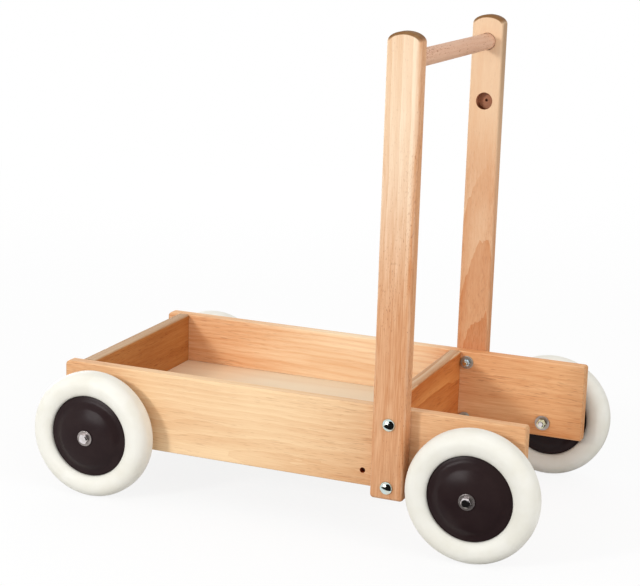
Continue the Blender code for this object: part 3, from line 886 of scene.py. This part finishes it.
def socket(centre, radius, side):
    """A blind hole with a softened mouth and the drill's pit in its floor."""
    steps = [(radius + HOLE_SOFTENING, 0.0), (radius, HOLE_SOFTENING), (radius, SOCKET_DEPTH),
             (PIT_RADIUS, SOCKET_DEPTH), (PIT_TIP, SOCKET_DEPTH + PIT_DEPTH)]
    return hole(centre, steps, side)


print("a post's outline has", len(post_outline(*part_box("left_upright"))), "points")

# %% Uprights
UPRIGHT_RIM = 3.2 * MM
SOCKET_SPACING = 65.8 * MM
# How dark the socket walls are: partly raw grain, partly painted shade in the sockets.
SOCKET_SHADE = 0.7
FOOT_SHADE = 0.15
# The hind side of each post, where painted shade is laid on.
HIND_EDGE = ("X", 0.1375, 0.1415)
SPECK_RATE = (250, 1150, 1150)
bar_radius = rod_radius("handle_bar")
bar_place = middle_of("handle_bar")[[0, 2]]
socket_places = [bar_place, bar_place - np.array([0.0, SOCKET_SPACING])]
upright_finish = {
    "left": beech("beech_left_upright", "Z", (2.00, 0.0863, 0.046), srgb(250, 230, 203), srgb(220, 174, 130),
                  (8.3 * MM, 0.06, 0.35, 1.7, 0.55), end_strength=1.0,
                  # Up the post the tint is the wood's own; on its hind side it is painted shade.
                  warmth_and_painted_light=[("Z", 0.47, 0.20, 0.95), ("X", 0.134, 0.141, 0.92)], flame=("Z", 0.6, 0.55, 0.3),
                  # Painted shade on the hind side, darker towards the foot beside the rear tyre.
                  wild=0.25, fleck_rate=SPECK_RATE, painted_shade=(0.45, HIND_EDGE, ("Z", 0.14, 0.07))),
    "right": beech("beech_right_upright", "Z", (2.56, -0.0748, 0.1436), srgb(240, 214, 182),
                   srgb(219, 167, 122), (10.2 * MM, 0.0, 0.6, 1.0, 0.3), end_strength=1.0,
                   warmth_and_painted_light=[("Z", 0.42, 0.32, 0.5), ("Z", 0.32, 0.18, 0.4)], flame=("Z", 0.37, 0.29, 0.7),
                   # Painted shade on the hind side, darker towards the top.
                   lean=0.09, painted_shade=(0.75, HIND_EDGE, ("Z", 0.29, 0.50))),
}
for name, inner in INNER_FACE.items():
    node = f"{name}_upright"
    low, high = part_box(node)
    openings = [socket(place, bar_radius + HOLE_PLAY, inner) for place in socket_places]
    openings += [shank_hole(f"{name}_{row}_carriage_bolt", BOLT_SHANK, high.y - low.y) for row in ROWS]
    mesh = weld(node, slab(post_outline(low, high), low.y, high.y, UPRIGHT_RIM, openings))
    bores = [(place, bar_radius + HOLE_PLAY, SOCKET_SHADE) for place in socket_places]
    stand_in(wooden(mesh, "Z", bores, foot=FOOT_SHADE), node, upright_finish[name])
    print(node, len(mesh.polygons), "faces")

# %% [markdown]
# ## Floor panel
# The floor is a thin sheet of birch plywood, much paler than the beech. Its
# face veneer was peeled from a turning log. A second wood of its own could be
# built for it, but the same solid figure with very wide years already gives its
# broad, faint flames.

# %% Floor panel
# The darker tint at the front end is painted shade cast by the front cross board.
birch = beech("birch_face", "X", (0.1, 0.02, 0.30), srgb(243, 230, 206), srgb(232, 211, 179),
              (9.0 * MM, 0.3, 0.4, 1.0, 0.0), warmth_and_painted_light=[("X", -0.10, -0.18, 0.4)], tint=srgb(252, 206, 158))
section = rectangle((floor_low.x, floor_low.z), (floor_high.x, floor_high.z))
mesh = weld("floor_panel", slab(section, floor_low.y, floor_high.y))
stand_in(wooden(mesh, "X"), "floor_panel", birch)
print("floor panel", len(mesh.polygons), "faces")

# %% [markdown]
# ## Turned pieces
# Tyres, hubs, washers, bushes, bolts and the bar are all turned about an axis
# along Y. A Screw modifier would sweep a profile round, but a formula also lets
# the radius change with the angle, so the same function makes hexagons: at each
# angle the radius is the smaller of the profile's and the hexagon's.

# %% The lathe
TURN_STEPS = 96


def hexagon(turn):
    """Distance to the edge of a hexagon that measures 2 across its flats."""
    return 1 / np.cos(np.mod(turn, np.pi / 3) - np.pi / 6)


def sweep(radius, heights, turn, centre, side):
    """Points round an axis along Y through the centre, as an array [row, point, xyz].

    x = radius cos t, z = radius sin t and y = side times height.
    """
    x = centre[0] + radius * np.cos(turn)
    y = np.broadcast_to(centre[1] + side * heights, x.shape)
    z = centre[2] + radius * np.sin(turn)
    return np.stack([x, y, z], axis=-1)


def lathe(profile, centre, side, steps=TURN_STEPS, flats=None, closed=True):
    """A turned surface: profile [radius, height] swept round Y, with height pointing outwards.

    Where flats gives half a width for a row, a hexagon of that size limits the radius.
    """
    turn = full_turn(steps)
    radius = np.repeat(profile[:, :1], steps, axis=1)
    if flats is not None:
        radius = np.minimum(radius, np.asarray(flats)[:, None] * hexagon(turn))
    return ring_grid(sweep(radius, profile[:, 1:], turn, centre, side), closed)


print("a hexagon's corners stand out", round(float(hexagon(0.0)), 3), "times its flats")

# %% [markdown]
# ## Handle bar
# The bar is a plain 18 mm dowel of a pinker beech. Its ends sit in the sockets
# with a hair of play, which shows as a fine dark ring. A cylinder would have
# sharp ends, so its section is turned with both of its edges just broken.

# %% Handle bar
BAR_STEPS = 64
BAR_EDGE = 0.5 * MM


def half_length(node):
    """Half of a node's extent along Y."""
    low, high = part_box(node)
    return (high.y - low.y) / 2


bar_finish = beech("beech_bar", "Y", (0.4, 0.09, 0.55), srgb(233, 195, 166), srgb(204, 150, 121),
                   (4.0 * MM, 0.1, 0.3, 1.8, 2.8), fleck_rate=SPECK_RATE)
reach = half_length("handle_bar")
section = rounded([(0.0, -reach), (bar_radius, -reach), (bar_radius, reach), (0.0, reach)],
                  [0.0, BAR_EDGE, BAR_EDGE, 0.0])
mesh = weld("handle_bar", [lathe(section, middle_of("handle_bar"), 1, BAR_STEPS)])
stand_in(wooden(mesh, "Y"), "handle_bar", bar_finish)
print("handle bar", len(mesh.polygons), "faces")

# %% [markdown]
# ## Moulded finishes
# Rubber, plastic and nylon all come out of a mould. They share three small
# things: a colour that is never quite even, a gloss that varies with it, and
# the fine grain of the mould's surface. One plain colour each would look like
# paint, so one group gives these, and each finish sets its own colours and
# sizes.

# %% Rubber, plastic and nylon
CLOUDS_PER_METRE = (45, 45, 45)
SMEARS_PER_METRE = (240, 240, 240)
GRAINS_PER_METRE = (2600, 2600, 2600)
CLOUD_FROM, CLOUD_TO = 0.3, 0.75
SMEAR_ROUGH = 0.14
MOULD_BUMP = 0.4


def build_moulded_skin():
    """The node group for moulded surfaces: soft clouds of colour over a fine grain."""
    inputs = {"Place": "Vector", "Base": "Color", "Cloud": "Color", "Gloss": "Float"}
    group, enter, leave = start_group("moulded_skin", inputs, SKIN)
    given = enter.outputs
    cloud = ramp(group, noise(group, given["Place"], CLOUDS_PER_METRE, 3.0), CLOUD_FROM, CLOUD_TO)
    smear = noise(group, given["Place"], SMEARS_PER_METRE, 2.0)
    feed(group, leave, {"Color": mix(group, cloud, given["Base"], given["Cloud"]),
                        "Roughness": sums(group, "MULTIPLY_ADD", smear, SMEAR_ROUGH, given["Gloss"]),
                        "Height": noise(group, given["Place"], GRAINS_PER_METRE, 1.0)})
    return group


moulded_skin = build_moulded_skin()


def moulded(name, base, cloud, gloss, relief, specular=0.5):
    """A moulded finish: two colours, the lowest roughness and the depth of the mould's grain."""
    material, tree, shader = start_material(name)
    inputs = {"Place": own_place(tree), "Base": base, "Cloud": cloud, "Gloss": gloss}
    skin = place_group(tree, moulded_skin, inputs)
    dress(tree, shader, skin, MOULD_BUMP, relief, specular)
    return material


rubber = moulded("white_rubber", srgb(234, 232, 223), srgb(228, 225, 213), 0.42, 0.03 * MM, 0.35)
plastic = moulded("dark_plastic", srgb(40, 29, 30), srgb(45, 34, 34), 0.16, 0.02 * MM, 0.07)
nylon = moulded("natural_nylon", srgb(226, 224, 214), srgb(216, 213, 200), 0.4, 0.02 * MM)
print("moulded skin:", len(moulded_skin.nodes), "nodes, placed", moulded_skin.users, "times")

# %% [markdown]
# ## Tyres
# A fat ring of white rubber. Seen in section it swells from its seat on the hub
# out to the walls and closes over the tread. A torus has a round section, but
# this one is two quarter ellipses on each side, with a soft lip where the
# rubber meets the hub.

# %% Tyres
TYRE_SEAT = 10.25 * MM
TYRE_TREAD = 3.0 * MM
TYRE_STEPS = 14
TYRE_GAP = 0.3 * MM
SIDES = {"left": -1, "right": 1}
WHEELS = {f"{end}_{name}": side for end in ENDS for name, side in SIDES.items()}


def tyre_profile(radius, bore, half):
    """Half outline by two quarter ellipses, mirrored for the other wall.

    Inner: radius = waist - (waist - bore) cos t, height = seat + (half - seat) sin t.
    Outer: radius = waist + (rim - waist) sin t, height = tread + (half - tread) cos t.
    """
    waist = (bore + radius) / 2
    turn = np.linspace(0, np.pi / 2, TYRE_STEPS + 1)
    inner = np.stack([waist - (waist - bore) * np.cos(turn),
                      TYRE_SEAT + (half - TYRE_SEAT) * np.sin(turn)], axis=1)
    outer = np.stack([waist + (radius - waist) * np.sin(turn),
                      TYRE_TREAD + (half - TYRE_TREAD) * np.cos(turn)], axis=1)
    wall = np.vstack([inner[:-1], outer])
    return np.vstack([wall, (wall * [1, -1])[::-1]])


for wheel, side in WHEELS.items():
    node = f"{wheel}_tyre"
    bore = rod_radius(f"{wheel}_hub") + TYRE_GAP
    profile = tyre_profile(rod_radius(node), bore, half_length(node))
    mesh = weld(node, [lathe(profile, middle_of(node), side)])
    stand_in(mesh, node, rubber)
print("tyres:", len(mesh.polygons), "faces each")

# %% [markdown]
# ## Hubs and bushes
# The hub is a brown-black moulding, domed on both faces and flat round its bore,
# where a nylon bush runs on the axle bolt. A flattened sphere bends alike all
# over, but this dome stays nearly flat at first and falls away ever faster
# towards the rim, as a power of the radius does. Just inside the rim a shallow
# groove runs round, which draws a dark ring.

# %% Hubs and bushes
HUB_RIM = 9.5 * MM
HUB_BOSS = 10.0 * MM
HUB_POWER = 1.9
HUB_STEPS = 40
GROOVE_AT = 0.8
GROOVE_REACH = 0.2
GROOVE_DEPTH = 1.2 * MM
BUSH_PLAY = 0.4 * MM
BUSH_EDGE = 0.3 * MM
EDGE_STEPS = 3


def hub_profile(rim, bore, half):
    """Boss, dome and rim of one face, mirrored for the other.

    height = half - (half - rim height) share to the power HUB_POWER, where share runs from
    the boss to the rim, less a groove that follows one wave of a cosine.
    """
    share = np.linspace(0, 1, HUB_STEPS + 1)
    wave = np.clip((share - GROOVE_AT) / GROOVE_REACH, -1, 1)
    groove = GROOVE_DEPTH * (1 + np.cos(np.pi * wave)) / 2
    height = half - (half - HUB_RIM) * share ** HUB_POWER - groove
    dome = np.stack([HUB_BOSS + (rim - HUB_BOSS) * share, height], axis=1)
    face = np.vstack([[[bore, half]], dome])
    return np.vstack([face, (face * [1, -1])[::-1]])


def tube_profile(outer, inner, half, edge):
    """Section of a ring with softened corners, as long to both sides of its middle."""
    corners = [(inner, -half), (outer, -half), (outer, half), (inner, half)]
    return rounded(corners, [edge] * 4, EDGE_STEPS)


for wheel, side in WHEELS.items():
    hub, bush = f"{wheel}_hub", f"{wheel}_bush"
    bush_radius = rod_radius(bush)
    profile = hub_profile(rod_radius(hub), bush_radius + HOLE_PLAY, half_length(hub))
    mesh = weld(hub, [lathe(profile, middle_of(hub), side)])
    stand_in(mesh, hub, plastic)
    profile = tube_profile(bush_radius, AXLE_SHANK + BUSH_PLAY, half_length(bush), BUSH_EDGE)
    stand_in(weld(bush, [lathe(profile, middle_of(bush), side)]), bush, nylon)
print("hubs:", len(mesh.polygons), "faces each")

# %% [markdown]
# ## Bright steel
# The bolts, nuts and washers are zinc plated: a bright, slightly blue metal
# whose film is uneven, with yellowish clouds and fine scratches. A plain metal
# of one colour would mirror like chrome. The film is a group again, and each
# plating has its own two tints and gloss: blue on the cup heads, clear on the
# axle bolts, straw and grey on the nuts, and duller ones on the washers.

# %% Zinc finishes
PATCHES_PER_METRE = (260, 260, 260)
SCRATCHES_PER_METRE = (4200, 900, 500)
PATCH_FROM, PATCH_TO = 0.35, 0.7
SCRATCH_ROUGH = 0.12


def build_zinc_film():
    """The node group for plating: clouds between two tints, and scratches that dull the gloss."""
    inputs = {"Place": "Vector", "Film": "Color", "Cloud": "Color", "Gloss": "Float"}
    group, enter, leave = start_group("zinc_film", inputs, {"Color": "Color", "Roughness": "Float"})
    given = enter.outputs
    cloud = ramp(group, noise(group, given["Place"], PATCHES_PER_METRE, 2.0), PATCH_FROM, PATCH_TO)
    scratch = noise(group, given["Place"], SCRATCHES_PER_METRE, 1.0)
    feed(group, leave, {"Color": mix(group, cloud, given["Film"], given["Cloud"]),
                        "Roughness": sums(group, "MULTIPLY_ADD", scratch, SCRATCH_ROUGH, given["Gloss"])})
    return group


zinc_film = build_zinc_film()


def plated(name, film, cloud, gloss, metal=1.0):
    """Plated steel: the film's two tints, its lowest roughness and how metallic it is."""
    material, tree, shader = start_material(name)
    inputs = {"Place": own_place(tree), "Film": film, "Cloud": cloud, "Gloss": gloss}
    skin = place_group(tree, zinc_film, inputs)
    feed(tree, shader, {"Base Color": skin.outputs["Color"], "Roughness": skin.outputs["Roughness"],
                        "Metallic": metal})
    return material


blue_zinc = plated("blue_zinc", srgb(202, 222, 222), srgb(214, 214, 200), 0.04)
clear_zinc = plated("clear_zinc", srgb(224, 218, 220), srgb(212, 206, 204), 0.06)
dull_zinc = plated("dull_zinc", srgb(202, 194, 192), srgb(186, 178, 172), 0.38)
straw_zinc = plated("straw_zinc", srgb(230, 222, 184), srgb(202, 206, 178), 0.14)
grey_zinc = plated("grey_zinc", srgb(206, 226, 240), srgb(192, 202, 200), 0.1, 0.9)
matt_zinc = plated("matt_zinc", srgb(182, 190, 188), srgb(168, 172, 162), 0.3, 0.7)
worn_zinc = plated("worn_zinc", srgb(158, 149, 147), srgb(138, 130, 126), 0.22, 0.7)
print("zinc film:", len(zinc_film.nodes), "nodes, placed", zinc_film.users, "times")

# %% [markdown]
# ## Washers and spacers
# Flat rings, stamped from sheet, with edges just broken. A cylinder less a
# cylinder would keep them sharp, so their section is rounded and turned. Their
# sizes come from the frame; only the holes and the edges are set here.

# %% Washers and spacers
HARDWARE_STEPS = 72
WASHER_EDGE = 0.4 * MM
BOLTS = {f"{name}_{row}": side for name, side in SIDES.items() for row in ROWS}
AXLE_RINGS = {"outer_washer": worn_zinc, "board_washer": dull_zinc, "spacer": dull_zinc}


def flat_ring(node, side, shank, finish):
    """A washer or spacer round a bolt."""
    profile = tube_profile(rod_radius(node), shank + HOLE_PLAY, half_length(node), WASHER_EDGE)
    mesh = weld(node, [lathe(profile, middle_of(node), side, HARDWARE_STEPS)])
    return stand_in(mesh, node, finish)


rings = []
for wheel, side in WHEELS.items():
    rings += [flat_ring(f"{wheel}_{kind}", side, AXLE_SHANK, finish) for kind, finish in AXLE_RINGS.items()]
rings += [flat_ring(f"{place}_bolt_washer", side, BOLT_SHANK, matt_zinc) for place, side in BOLTS.items()]
print("rings:", len(rings))

# %% [markdown]
# ## Bolts and nuts
# A hexagon head is turned from bar, so a cone cuts its corners: the radius at
# each height is the smaller of the cone's and the hexagon's, which draws the
# curved edges on the flats by itself. A bevelled six-sided cylinder would cut
# them straight. The lock nuts have the same cap under the round collar that
# holds their locking ring.

# %% Hexagons and lock nuts
CONE_SLOPE = math.tan(math.radians(42))
FLAT_SHARE = 0.8
CONE_STEPS = 6
NUT_COLLAR = 1.5 * MM
COLLAR_INSET = 0.3 * MM
COLLAR_EDGE = 0.4 * MM


def half_flats(node):
    """Half the width across the flats of a node's hexagon, which is turned by 15 degrees.

    Its box reaches as far as its corners do at that turn: (x + z) / 4 = h cos 15 / cos 30.
    """
    low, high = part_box(node)
    return (high.x - low.x + high.z - low.z) / 4 * math.cos(math.pi / 6) / math.cos(math.pi / 12)


def hex_cap(half_width, low, high):
    """Rows of a hexagon whose upper corners are cut by a cone, from its foot to its flat top.

    height = high - (radius - flat) slope, for radii from the corners in to the flat top.
    """
    tip = 2 * half_width / math.sqrt(3)
    flat = FLAT_SHARE * half_width
    radii = np.linspace(tip, flat, CONE_STEPS + 1)
    heights = high - (radii - flat) * CONE_SLOPE
    rows = np.vstack([[[tip, low]], np.stack([radii, heights], axis=1)])
    return rows, np.full(len(rows), half_width)


def lock_nut(node, side, shank, finish):
    """A hexagon nut with the round collar that holds its locking ring, towards the inside."""
    half = half_length(node)
    half_width = half_flats(node)
    rows, flats = hex_cap(half_width, -half, half - NUT_COLLAR)
    collar = half_width - COLLAR_INSET
    round_rows = np.array([[collar, half - NUT_COLLAR], [collar, half - COLLAR_EDGE],
                           [collar - COLLAR_EDGE, half], [shank + HOLE_PLAY, half],
                           [shank + HOLE_PLAY, -half]])
    profile = np.vstack([rows, round_rows])
    flats = np.concatenate([flats, np.full(len(round_rows), np.inf)])
    mesh = weld(node, [lathe(profile, middle_of(node), -side, HARDWARE_STEPS, flats)])
    stand_in(mesh, node, finish)


print("axle nuts:", round(2 * half_flats("front_left_lock_nut") / MM, 1), "mm across their flats")

# %% [markdown]
# The shanks carry a real screw thread where they come out of the nuts: a wave
# of the radius that climbs one pitch in each turn. A bump in the finish would
# shade like a thread but leave the outline smooth. Under the head a bolt is a
# plain rod, so a bolt is three patches: head, plain shank and thread.

# %% Threads and bolts
THREAD_STEPS = 8
THREAD_DEPTH = 0.55
END_CHAMFER = 0.6 * MM
PITCH = {BOLT_SHANK: 0.8 * MM, AXLE_SHANK: 1.0 * MM}


def thread(shank, start, end, centre, side):
    """A threaded end as one grid, from start down to end, closed by a flat tip.

    radius = shank - depth (1 - cos(angle of the helix)) / 2, and a chamfer narrows the tip.
    """
    pitch = PITCH[shank]
    rows = int(round(abs(end - start) / pitch * THREAD_STEPS)) + 1
    heights = np.linspace(start, end, rows)[:, None]
    turn = full_turn(HARDWARE_STEPS)
    helix = 2 * np.pi * heights / pitch - side * turn
    radius = shank - THREAD_DEPTH * pitch * (1 - np.cos(helix)) / 2
    left = np.abs(heights - end)
    radius = np.minimum(radius, shank - np.clip(END_CHAMFER - left, 0, None))
    ease = np.clip(np.abs(heights - start) / pitch, 0, 1)
    radius = np.vstack([shank + (radius - shank) * ease, np.zeros((1, HARDWARE_STEPS))])
    heights = np.vstack([heights, heights[-1:]])
    return ring_grid(sweep(radius, heights, turn, centre, side))


def bolt(node, side, shank, head, plain, finish, flats=None):
    """A bolt: its head, whose first row meets the shank, a plain length and a thread to the end."""
    centre = middle_of(node)
    threaded_from = head[0, 1] - plain
    shaft = np.array([[shank, threaded_from], head[0]])
    mesh = weld(node, [lathe(head, centre, side, HARDWARE_STEPS, flats, closed=False),
                       lathe(shaft, centre, side, HARDWARE_STEPS, closed=False),
                       thread(shank, threaded_from, -half_length(node), centre, side)])
    stand_in(mesh, node, finish)
    return mesh


print("thread pitches:", [round(pitch / MM, 2) for pitch in PITCH.values()], "mm")

# %% [markdown]
# The axle bolts have low hexagon heads, which show in the middle of each hub.
# They could stay as the frame's solids, but their cut corners are what catches
# the light. Each is made together with the lock nut that holds it.

# %% Axle bolts
AXLE_HEAD = 4.0 * MM
AXLE_PLAIN = 42 * MM
for wheel, side in WHEELS.items():
    lock_nut(f"{wheel}_lock_nut", side, AXLE_SHANK, straw_zinc)
    node = f"{wheel}_axle_bolt"
    half = half_length(node)
    rows, flats = hex_cap(half_flats(node), half - AXLE_HEAD, half)
    head = np.vstack([[[AXLE_SHANK, half - AXLE_HEAD]], rows, [[0.0, half]]])
    flats = np.concatenate([[np.inf], flats, [np.inf]])
    mesh = bolt(node, side, AXLE_SHANK, head, AXLE_PLAIN, clear_zinc, flats)
print("axle bolts:", len(mesh.polygons), "faces each")

# %% [markdown]
# A carriage bolt has a smooth cup head over a short neck that bites into the
# wood. The cup is a flattened quarter circle. The neck is square on a real one,
# but it is hidden in the board, so here it is turned with the rest as a plain
# round collar.

# %% Carriage bolts
CUP_STEPS = 12
CUP_HEIGHT = 3.2 * MM
NECK_LENGTH = 3.0 * MM
NECK_HALF = 2.7 * MM
BOLT_PLAIN = 14 * MM
for place, side in BOLTS.items():
    lock_nut(f"{place}_bolt_nut", side, BOLT_SHANK, grey_zinc)
    node = f"{place}_carriage_bolt"
    seat = half_length(node) - CUP_HEIGHT
    turn = np.linspace(0, np.pi / 2, CUP_STEPS + 1)
    dome = np.stack([rod_radius(node) * np.cos(turn), seat + CUP_HEIGHT * np.sin(turn)], axis=1)
    neck_end = seat - NECK_LENGTH
    head = np.vstack([[[BOLT_SHANK, neck_end], [NECK_HALF, neck_end], [NECK_HALF, seat]], dome])
    mesh = bolt(node, side, BOLT_SHANK, head, BOLT_PLAIN, blue_zinc)
print("carriage bolts:", len(mesh.polygons), "faces each")

# %% [markdown]
# ## Hidden dowels
# The dowels of the corner joints are never seen, and their solids are already
# the right shape. New meshes would change nothing, so they only change their
# finish.

# %% Dowels
dowel_finish = beech("beech_dowel", "Y", (0.7, 0.05, 0.21), srgb(232, 190, 146), srgb(200, 146, 100),
                     (2.4 * MM, 0.3, 0.4, 1.5, 0.5))
dowels = [solid for node, solid in frame["nodes"].items() if node.endswith("_dowel")]
for solid in dowels:
    solid.data.materials.clear()
    solid.data.materials.append(dowel_finish)
print("dowels:", len(dowels))

# %% [markdown]
# ## Studio
# The walker stands on a pale floor that runs out to white. The camera and the
# polished metal see the floor mostly as white, while the rest is real light and
# shade, so the shadow stays. More light would whiten the floor too, but it
# would bleach the wood.

# %% Floor
FLOOR_REACH = 120.0
FLOOR_SHOWN = (0.9, 0.9, 0.9, 1.0)
FLOOR_BOUNCE = (0.58, 0.58, 0.58, 1.0)
FLOOR_WHITE = 0.86
FLOOR_ROUGH = 0.9
WHITE_FROM, WHITE_TO = 0.7, 2.2
WHITE = (1, 1, 1, 1)


def seen_directly(tree):
    """1 for rays from the camera, a mirror or glass, and 0 for those that gather light."""
    path = add(tree, "LightPath", {})
    seen = sums(tree, "MAXIMUM", path.outputs["Is Camera Ray"], path.outputs["Is Glossy Ray"])
    return sums(tree, "MAXIMUM", seen, path.outputs["Is Transmission Ray"])


def floor_finish():
    """Pale matt floor, shown mostly as white near the object and wholly so far away.

    It throws less light back up than it shows, as a grey sheet would.
    """
    material, tree, shader = start_material("studio_floor")
    seen = seen_directly(tree)
    feed(tree, shader, {"Base Color": mix(tree, seen, FLOOR_BOUNCE, FLOOR_SHOWN), "Roughness": FLOOR_ROUGH,
                        "Specular IOR Level": 0.0})
    glow = add(tree, "Emission", {"Color": WHITE, "Strength": 1.0}).outputs[0]
    away = add(tree, "VectorMath", {0: own_place(tree)}, operation="LENGTH").outputs["Value"]
    white = ramp(tree, away, WHITE_FROM, WHITE_TO, FLOOR_WHITE, 1.0)
    share = sums(tree, "MULTIPLY", seen, white)
    shown = add(tree, "MixShader", {0: share, 1: shader.outputs[0], 2: glow}).outputs[0]
    feed(tree, tree.nodes["Material Output"], {"Surface": shown})
    return material


corners = FLOOR_REACH * np.array([[-1, -1, 0], [1, -1, 0], [1, 1, 0], [-1, 1, 0]])
ground = bpy.data.meshes.new("studio_floor")
ground.from_pydata(corners.tolist(), [], [(0, 1, 2, 3)])
ground.materials.append(floor_finish())
floor = new_object("studio_floor", ground)
floor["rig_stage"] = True
print("floor:", 2 * FLOOR_REACH, "m square")

# %% [markdown]
# A white room fills the shadows, at a level where a colour looks as it is
# written. A small key lamp at the front left gives the shadows an edge, and two
# large soft lamps at the right and at the back lift what it doesn't reach. One
# large lamp would be simpler, but it leaves no shape in the shadows.

# %% Room and lamps
ROOM_LIGHT = 0.78
LAMP_AIM = Vector((0.0, 0.0, 0.2))
# Each lamp's place, its size in metres and its power in watts.
LAMPS = {"key_lamp": ((-1.0, -1.95, 1.0), 0.35, 22.5),
         "right_lamp": ((2.0, -0.7, 0.8), 1.0, 12.5),
         "back_lamp": ((-1.0, 2.2, 0.6), 1.0, 8.0)}


def soft_lamp(name, place, size, power):
    """A square lamp aimed at the walker's middle. Mirror-like surfaces don't see it."""
    data = bpy.data.lights.new(name, "AREA")
    data.shape = "SQUARE"
    data.size = size
    data.energy = power
    lamp = new_object(name, data)
    lamp.location = place
    lamp.rotation_euler = (LAMP_AIM - Vector(place)).to_track_quat("-Z", "Y").to_euler()
    lamp.visible_glossy = False


room = bpy.data.worlds.new("white_room")
room.use_nodes = True
air = room.node_tree
levels = {0: seen_directly(air), 1: 0.0, 2: 1.0, 3: ROOM_LIGHT, 4: 1.0}
feed(air, air.nodes["Background"], {"Color": WHITE, "Strength": add(air, "MapRange", levels).outputs[0]})
bpy.context.scene.world = room
for name, (place, size, power) in LAMPS.items():
    soft_lamp(name, place, size, power)
print("lamps:", ", ".join(LAMPS))

# %% [markdown]
# Polished metal looks like metal only when it has something to mirror. A
# photographer stands a black card beside the camera and hangs a white one at
# the other side for that. Here are such a pair in front and another behind, so
# that the bolts on both sides have one. Mirror-like rays alone see the cards,
# so they take no light away and show in no picture.

# %% Shapes of the cards
CARD_NEAR, CARD_FAR = 0.27, 2.4
CARD_LIFT = 0.004
CARD_HEIGHT = 2.4
CARD_STEPS = 24
BRIGHT_FAR = 2.3
BRIGHT_WIDTH = 0.78
BRIGHT_FOOT, BRIGHT_TOP = 0.02, 0.75


def dark_rows(start, end):
    """Three rows of points round the object: the near edge on the floor, the fold and the top.

    The top is humped: its height follows the sine of the way round.
    """
    share = np.linspace(0, 1, CARD_STEPS + 1)
    turn = np.radians(start + (end - start) * share)
    around = np.stack([np.sin(turn), -np.cos(turn)], axis=1)
    flat = np.full((len(share), 1), CARD_LIFT)
    top = CARD_LIFT + CARD_HEIGHT * np.sin(np.pi * share)[:, None]
    return np.stack([np.hstack([CARD_NEAR * around, flat]), np.hstack([CARD_FAR * around, flat]),
                     np.hstack([CARD_FAR * around, top])])


def bright_rows(way):
    """Two rows of two points: an upright sheet that faces the object."""
    turn = math.radians(way)
    out = np.array([math.sin(turn), -math.cos(turn), 0.0])
    across = np.array([-out[1], out[0], 0.0]) * BRIGHT_WIDTH / 2
    foot = out * BRIGHT_FAR + np.array([0.0, 0.0, BRIGHT_FOOT])
    top = out * BRIGHT_FAR + np.array([0.0, 0.0, BRIGHT_TOP])
    return np.stack([[foot - across, foot + across], [top - across, top + across]])


print("a dark card has", dark_rows(0, 90).size // 3, "points")

# %% Cards for the metal
CARD_BLACK = (0.01, 0.01, 0.01, 1.0)
BRIGHT_GLOW = 10.0
# Degrees round the walker: 0 faces its left side and 90 its rear.
DARK_ARCS = {"front": (-23, 75), "back": (95, 175)}
BRIGHT_WAYS = {"front": -21.5, "back": 230}


def mirror_card(name, rows, glow):
    """A sheet over rows of points, black but for its glow, that only mirror-like rays see."""
    finish, tree, shader = start_material(name)
    feed(tree, shader, {"Base Color": CARD_BLACK, "Specular IOR Level": 0.0, "Emission Color": WHITE,
                        "Emission Strength": glow})
    here = np.arange(rows.shape[0] * rows.shape[1]).reshape(rows.shape[:2])
    quads = np.stack([here[:-1, :-1], here[:-1, 1:], here[1:, 1:], here[1:, :-1]], axis=-1)
    sheet = bpy.data.meshes.new(name)
    sheet.from_pydata(rows.reshape(-1, 3).tolist(), [], quads.reshape(-1, 4).tolist())
    sheet.materials.append(finish)
    card = new_object(name, sheet)
    card.visible_camera = False
    card.visible_diffuse = False
    card.visible_shadow = False
    card.visible_transmission = False
    card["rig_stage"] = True


for where, arc in DARK_ARCS.items():
    mirror_card(f"{where}_dark_card", dark_rows(*arc), 0.0)
for where, way in BRIGHT_WAYS.items():
    mirror_card(f"{where}_bright_card", bright_rows(way), BRIGHT_GLOW)
print("cards:", len(DARK_ARCS) + len(BRIGHT_WAYS))

# %% [markdown]
# ## Camera
# The photograph's own camera was worked out from the straight edges, the bolt
# centres and the outlines of the wheels: how far round and how far up it stands,
# how much it leans, and how long its lens is for a frame 640 pixels wide. A
# camera that tracks its target would be shorter to write, but it can't lean.

# %% Camera
FRAME_WIDTH = 640
SENSOR = 36.0
FOCAL_PIXELS = 1699.14
ROUND = math.radians(21.9)
UP = math.radians(13.52)
LEAN = math.radians(1.73)
AIM = Vector((-0.01523, 0.0, 0.21770))
DISTANCE = 1.86992

backward = Vector((math.sin(ROUND) * math.cos(UP), -math.cos(ROUND) * math.cos(UP), math.sin(UP)))
level = Vector((0, 0, 1)).cross(backward).normalized()
upward = backward.cross(level)
rightward = math.cos(LEAN) * level + math.sin(LEAN) * upward
topward = -math.sin(LEAN) * level + math.cos(LEAN) * upward
lens = bpy.data.cameras.new("camera")
lens.sensor_width = SENSOR
lens.lens = FOCAL_PIXELS * SENSOR / FRAME_WIDTH
camera = new_object("camera", lens)
turned = Matrix((rightward, topward, backward)).transposed().to_4x4()
camera.matrix_world = Matrix.Translation(AIM + backward * DISTANCE) @ turned
bpy.context.scene.camera = camera
bpy.context.scene.view_settings.view_transform = "Standard"
print("lens:", round(lens.lens, 1), "mm at", round(DISTANCE, 2), "m")

# %% Size of the dressed walker
bpy.context.view_layer.update()
low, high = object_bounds()
print("dressed box", [round(x, 4) for x in (*low, *high)])
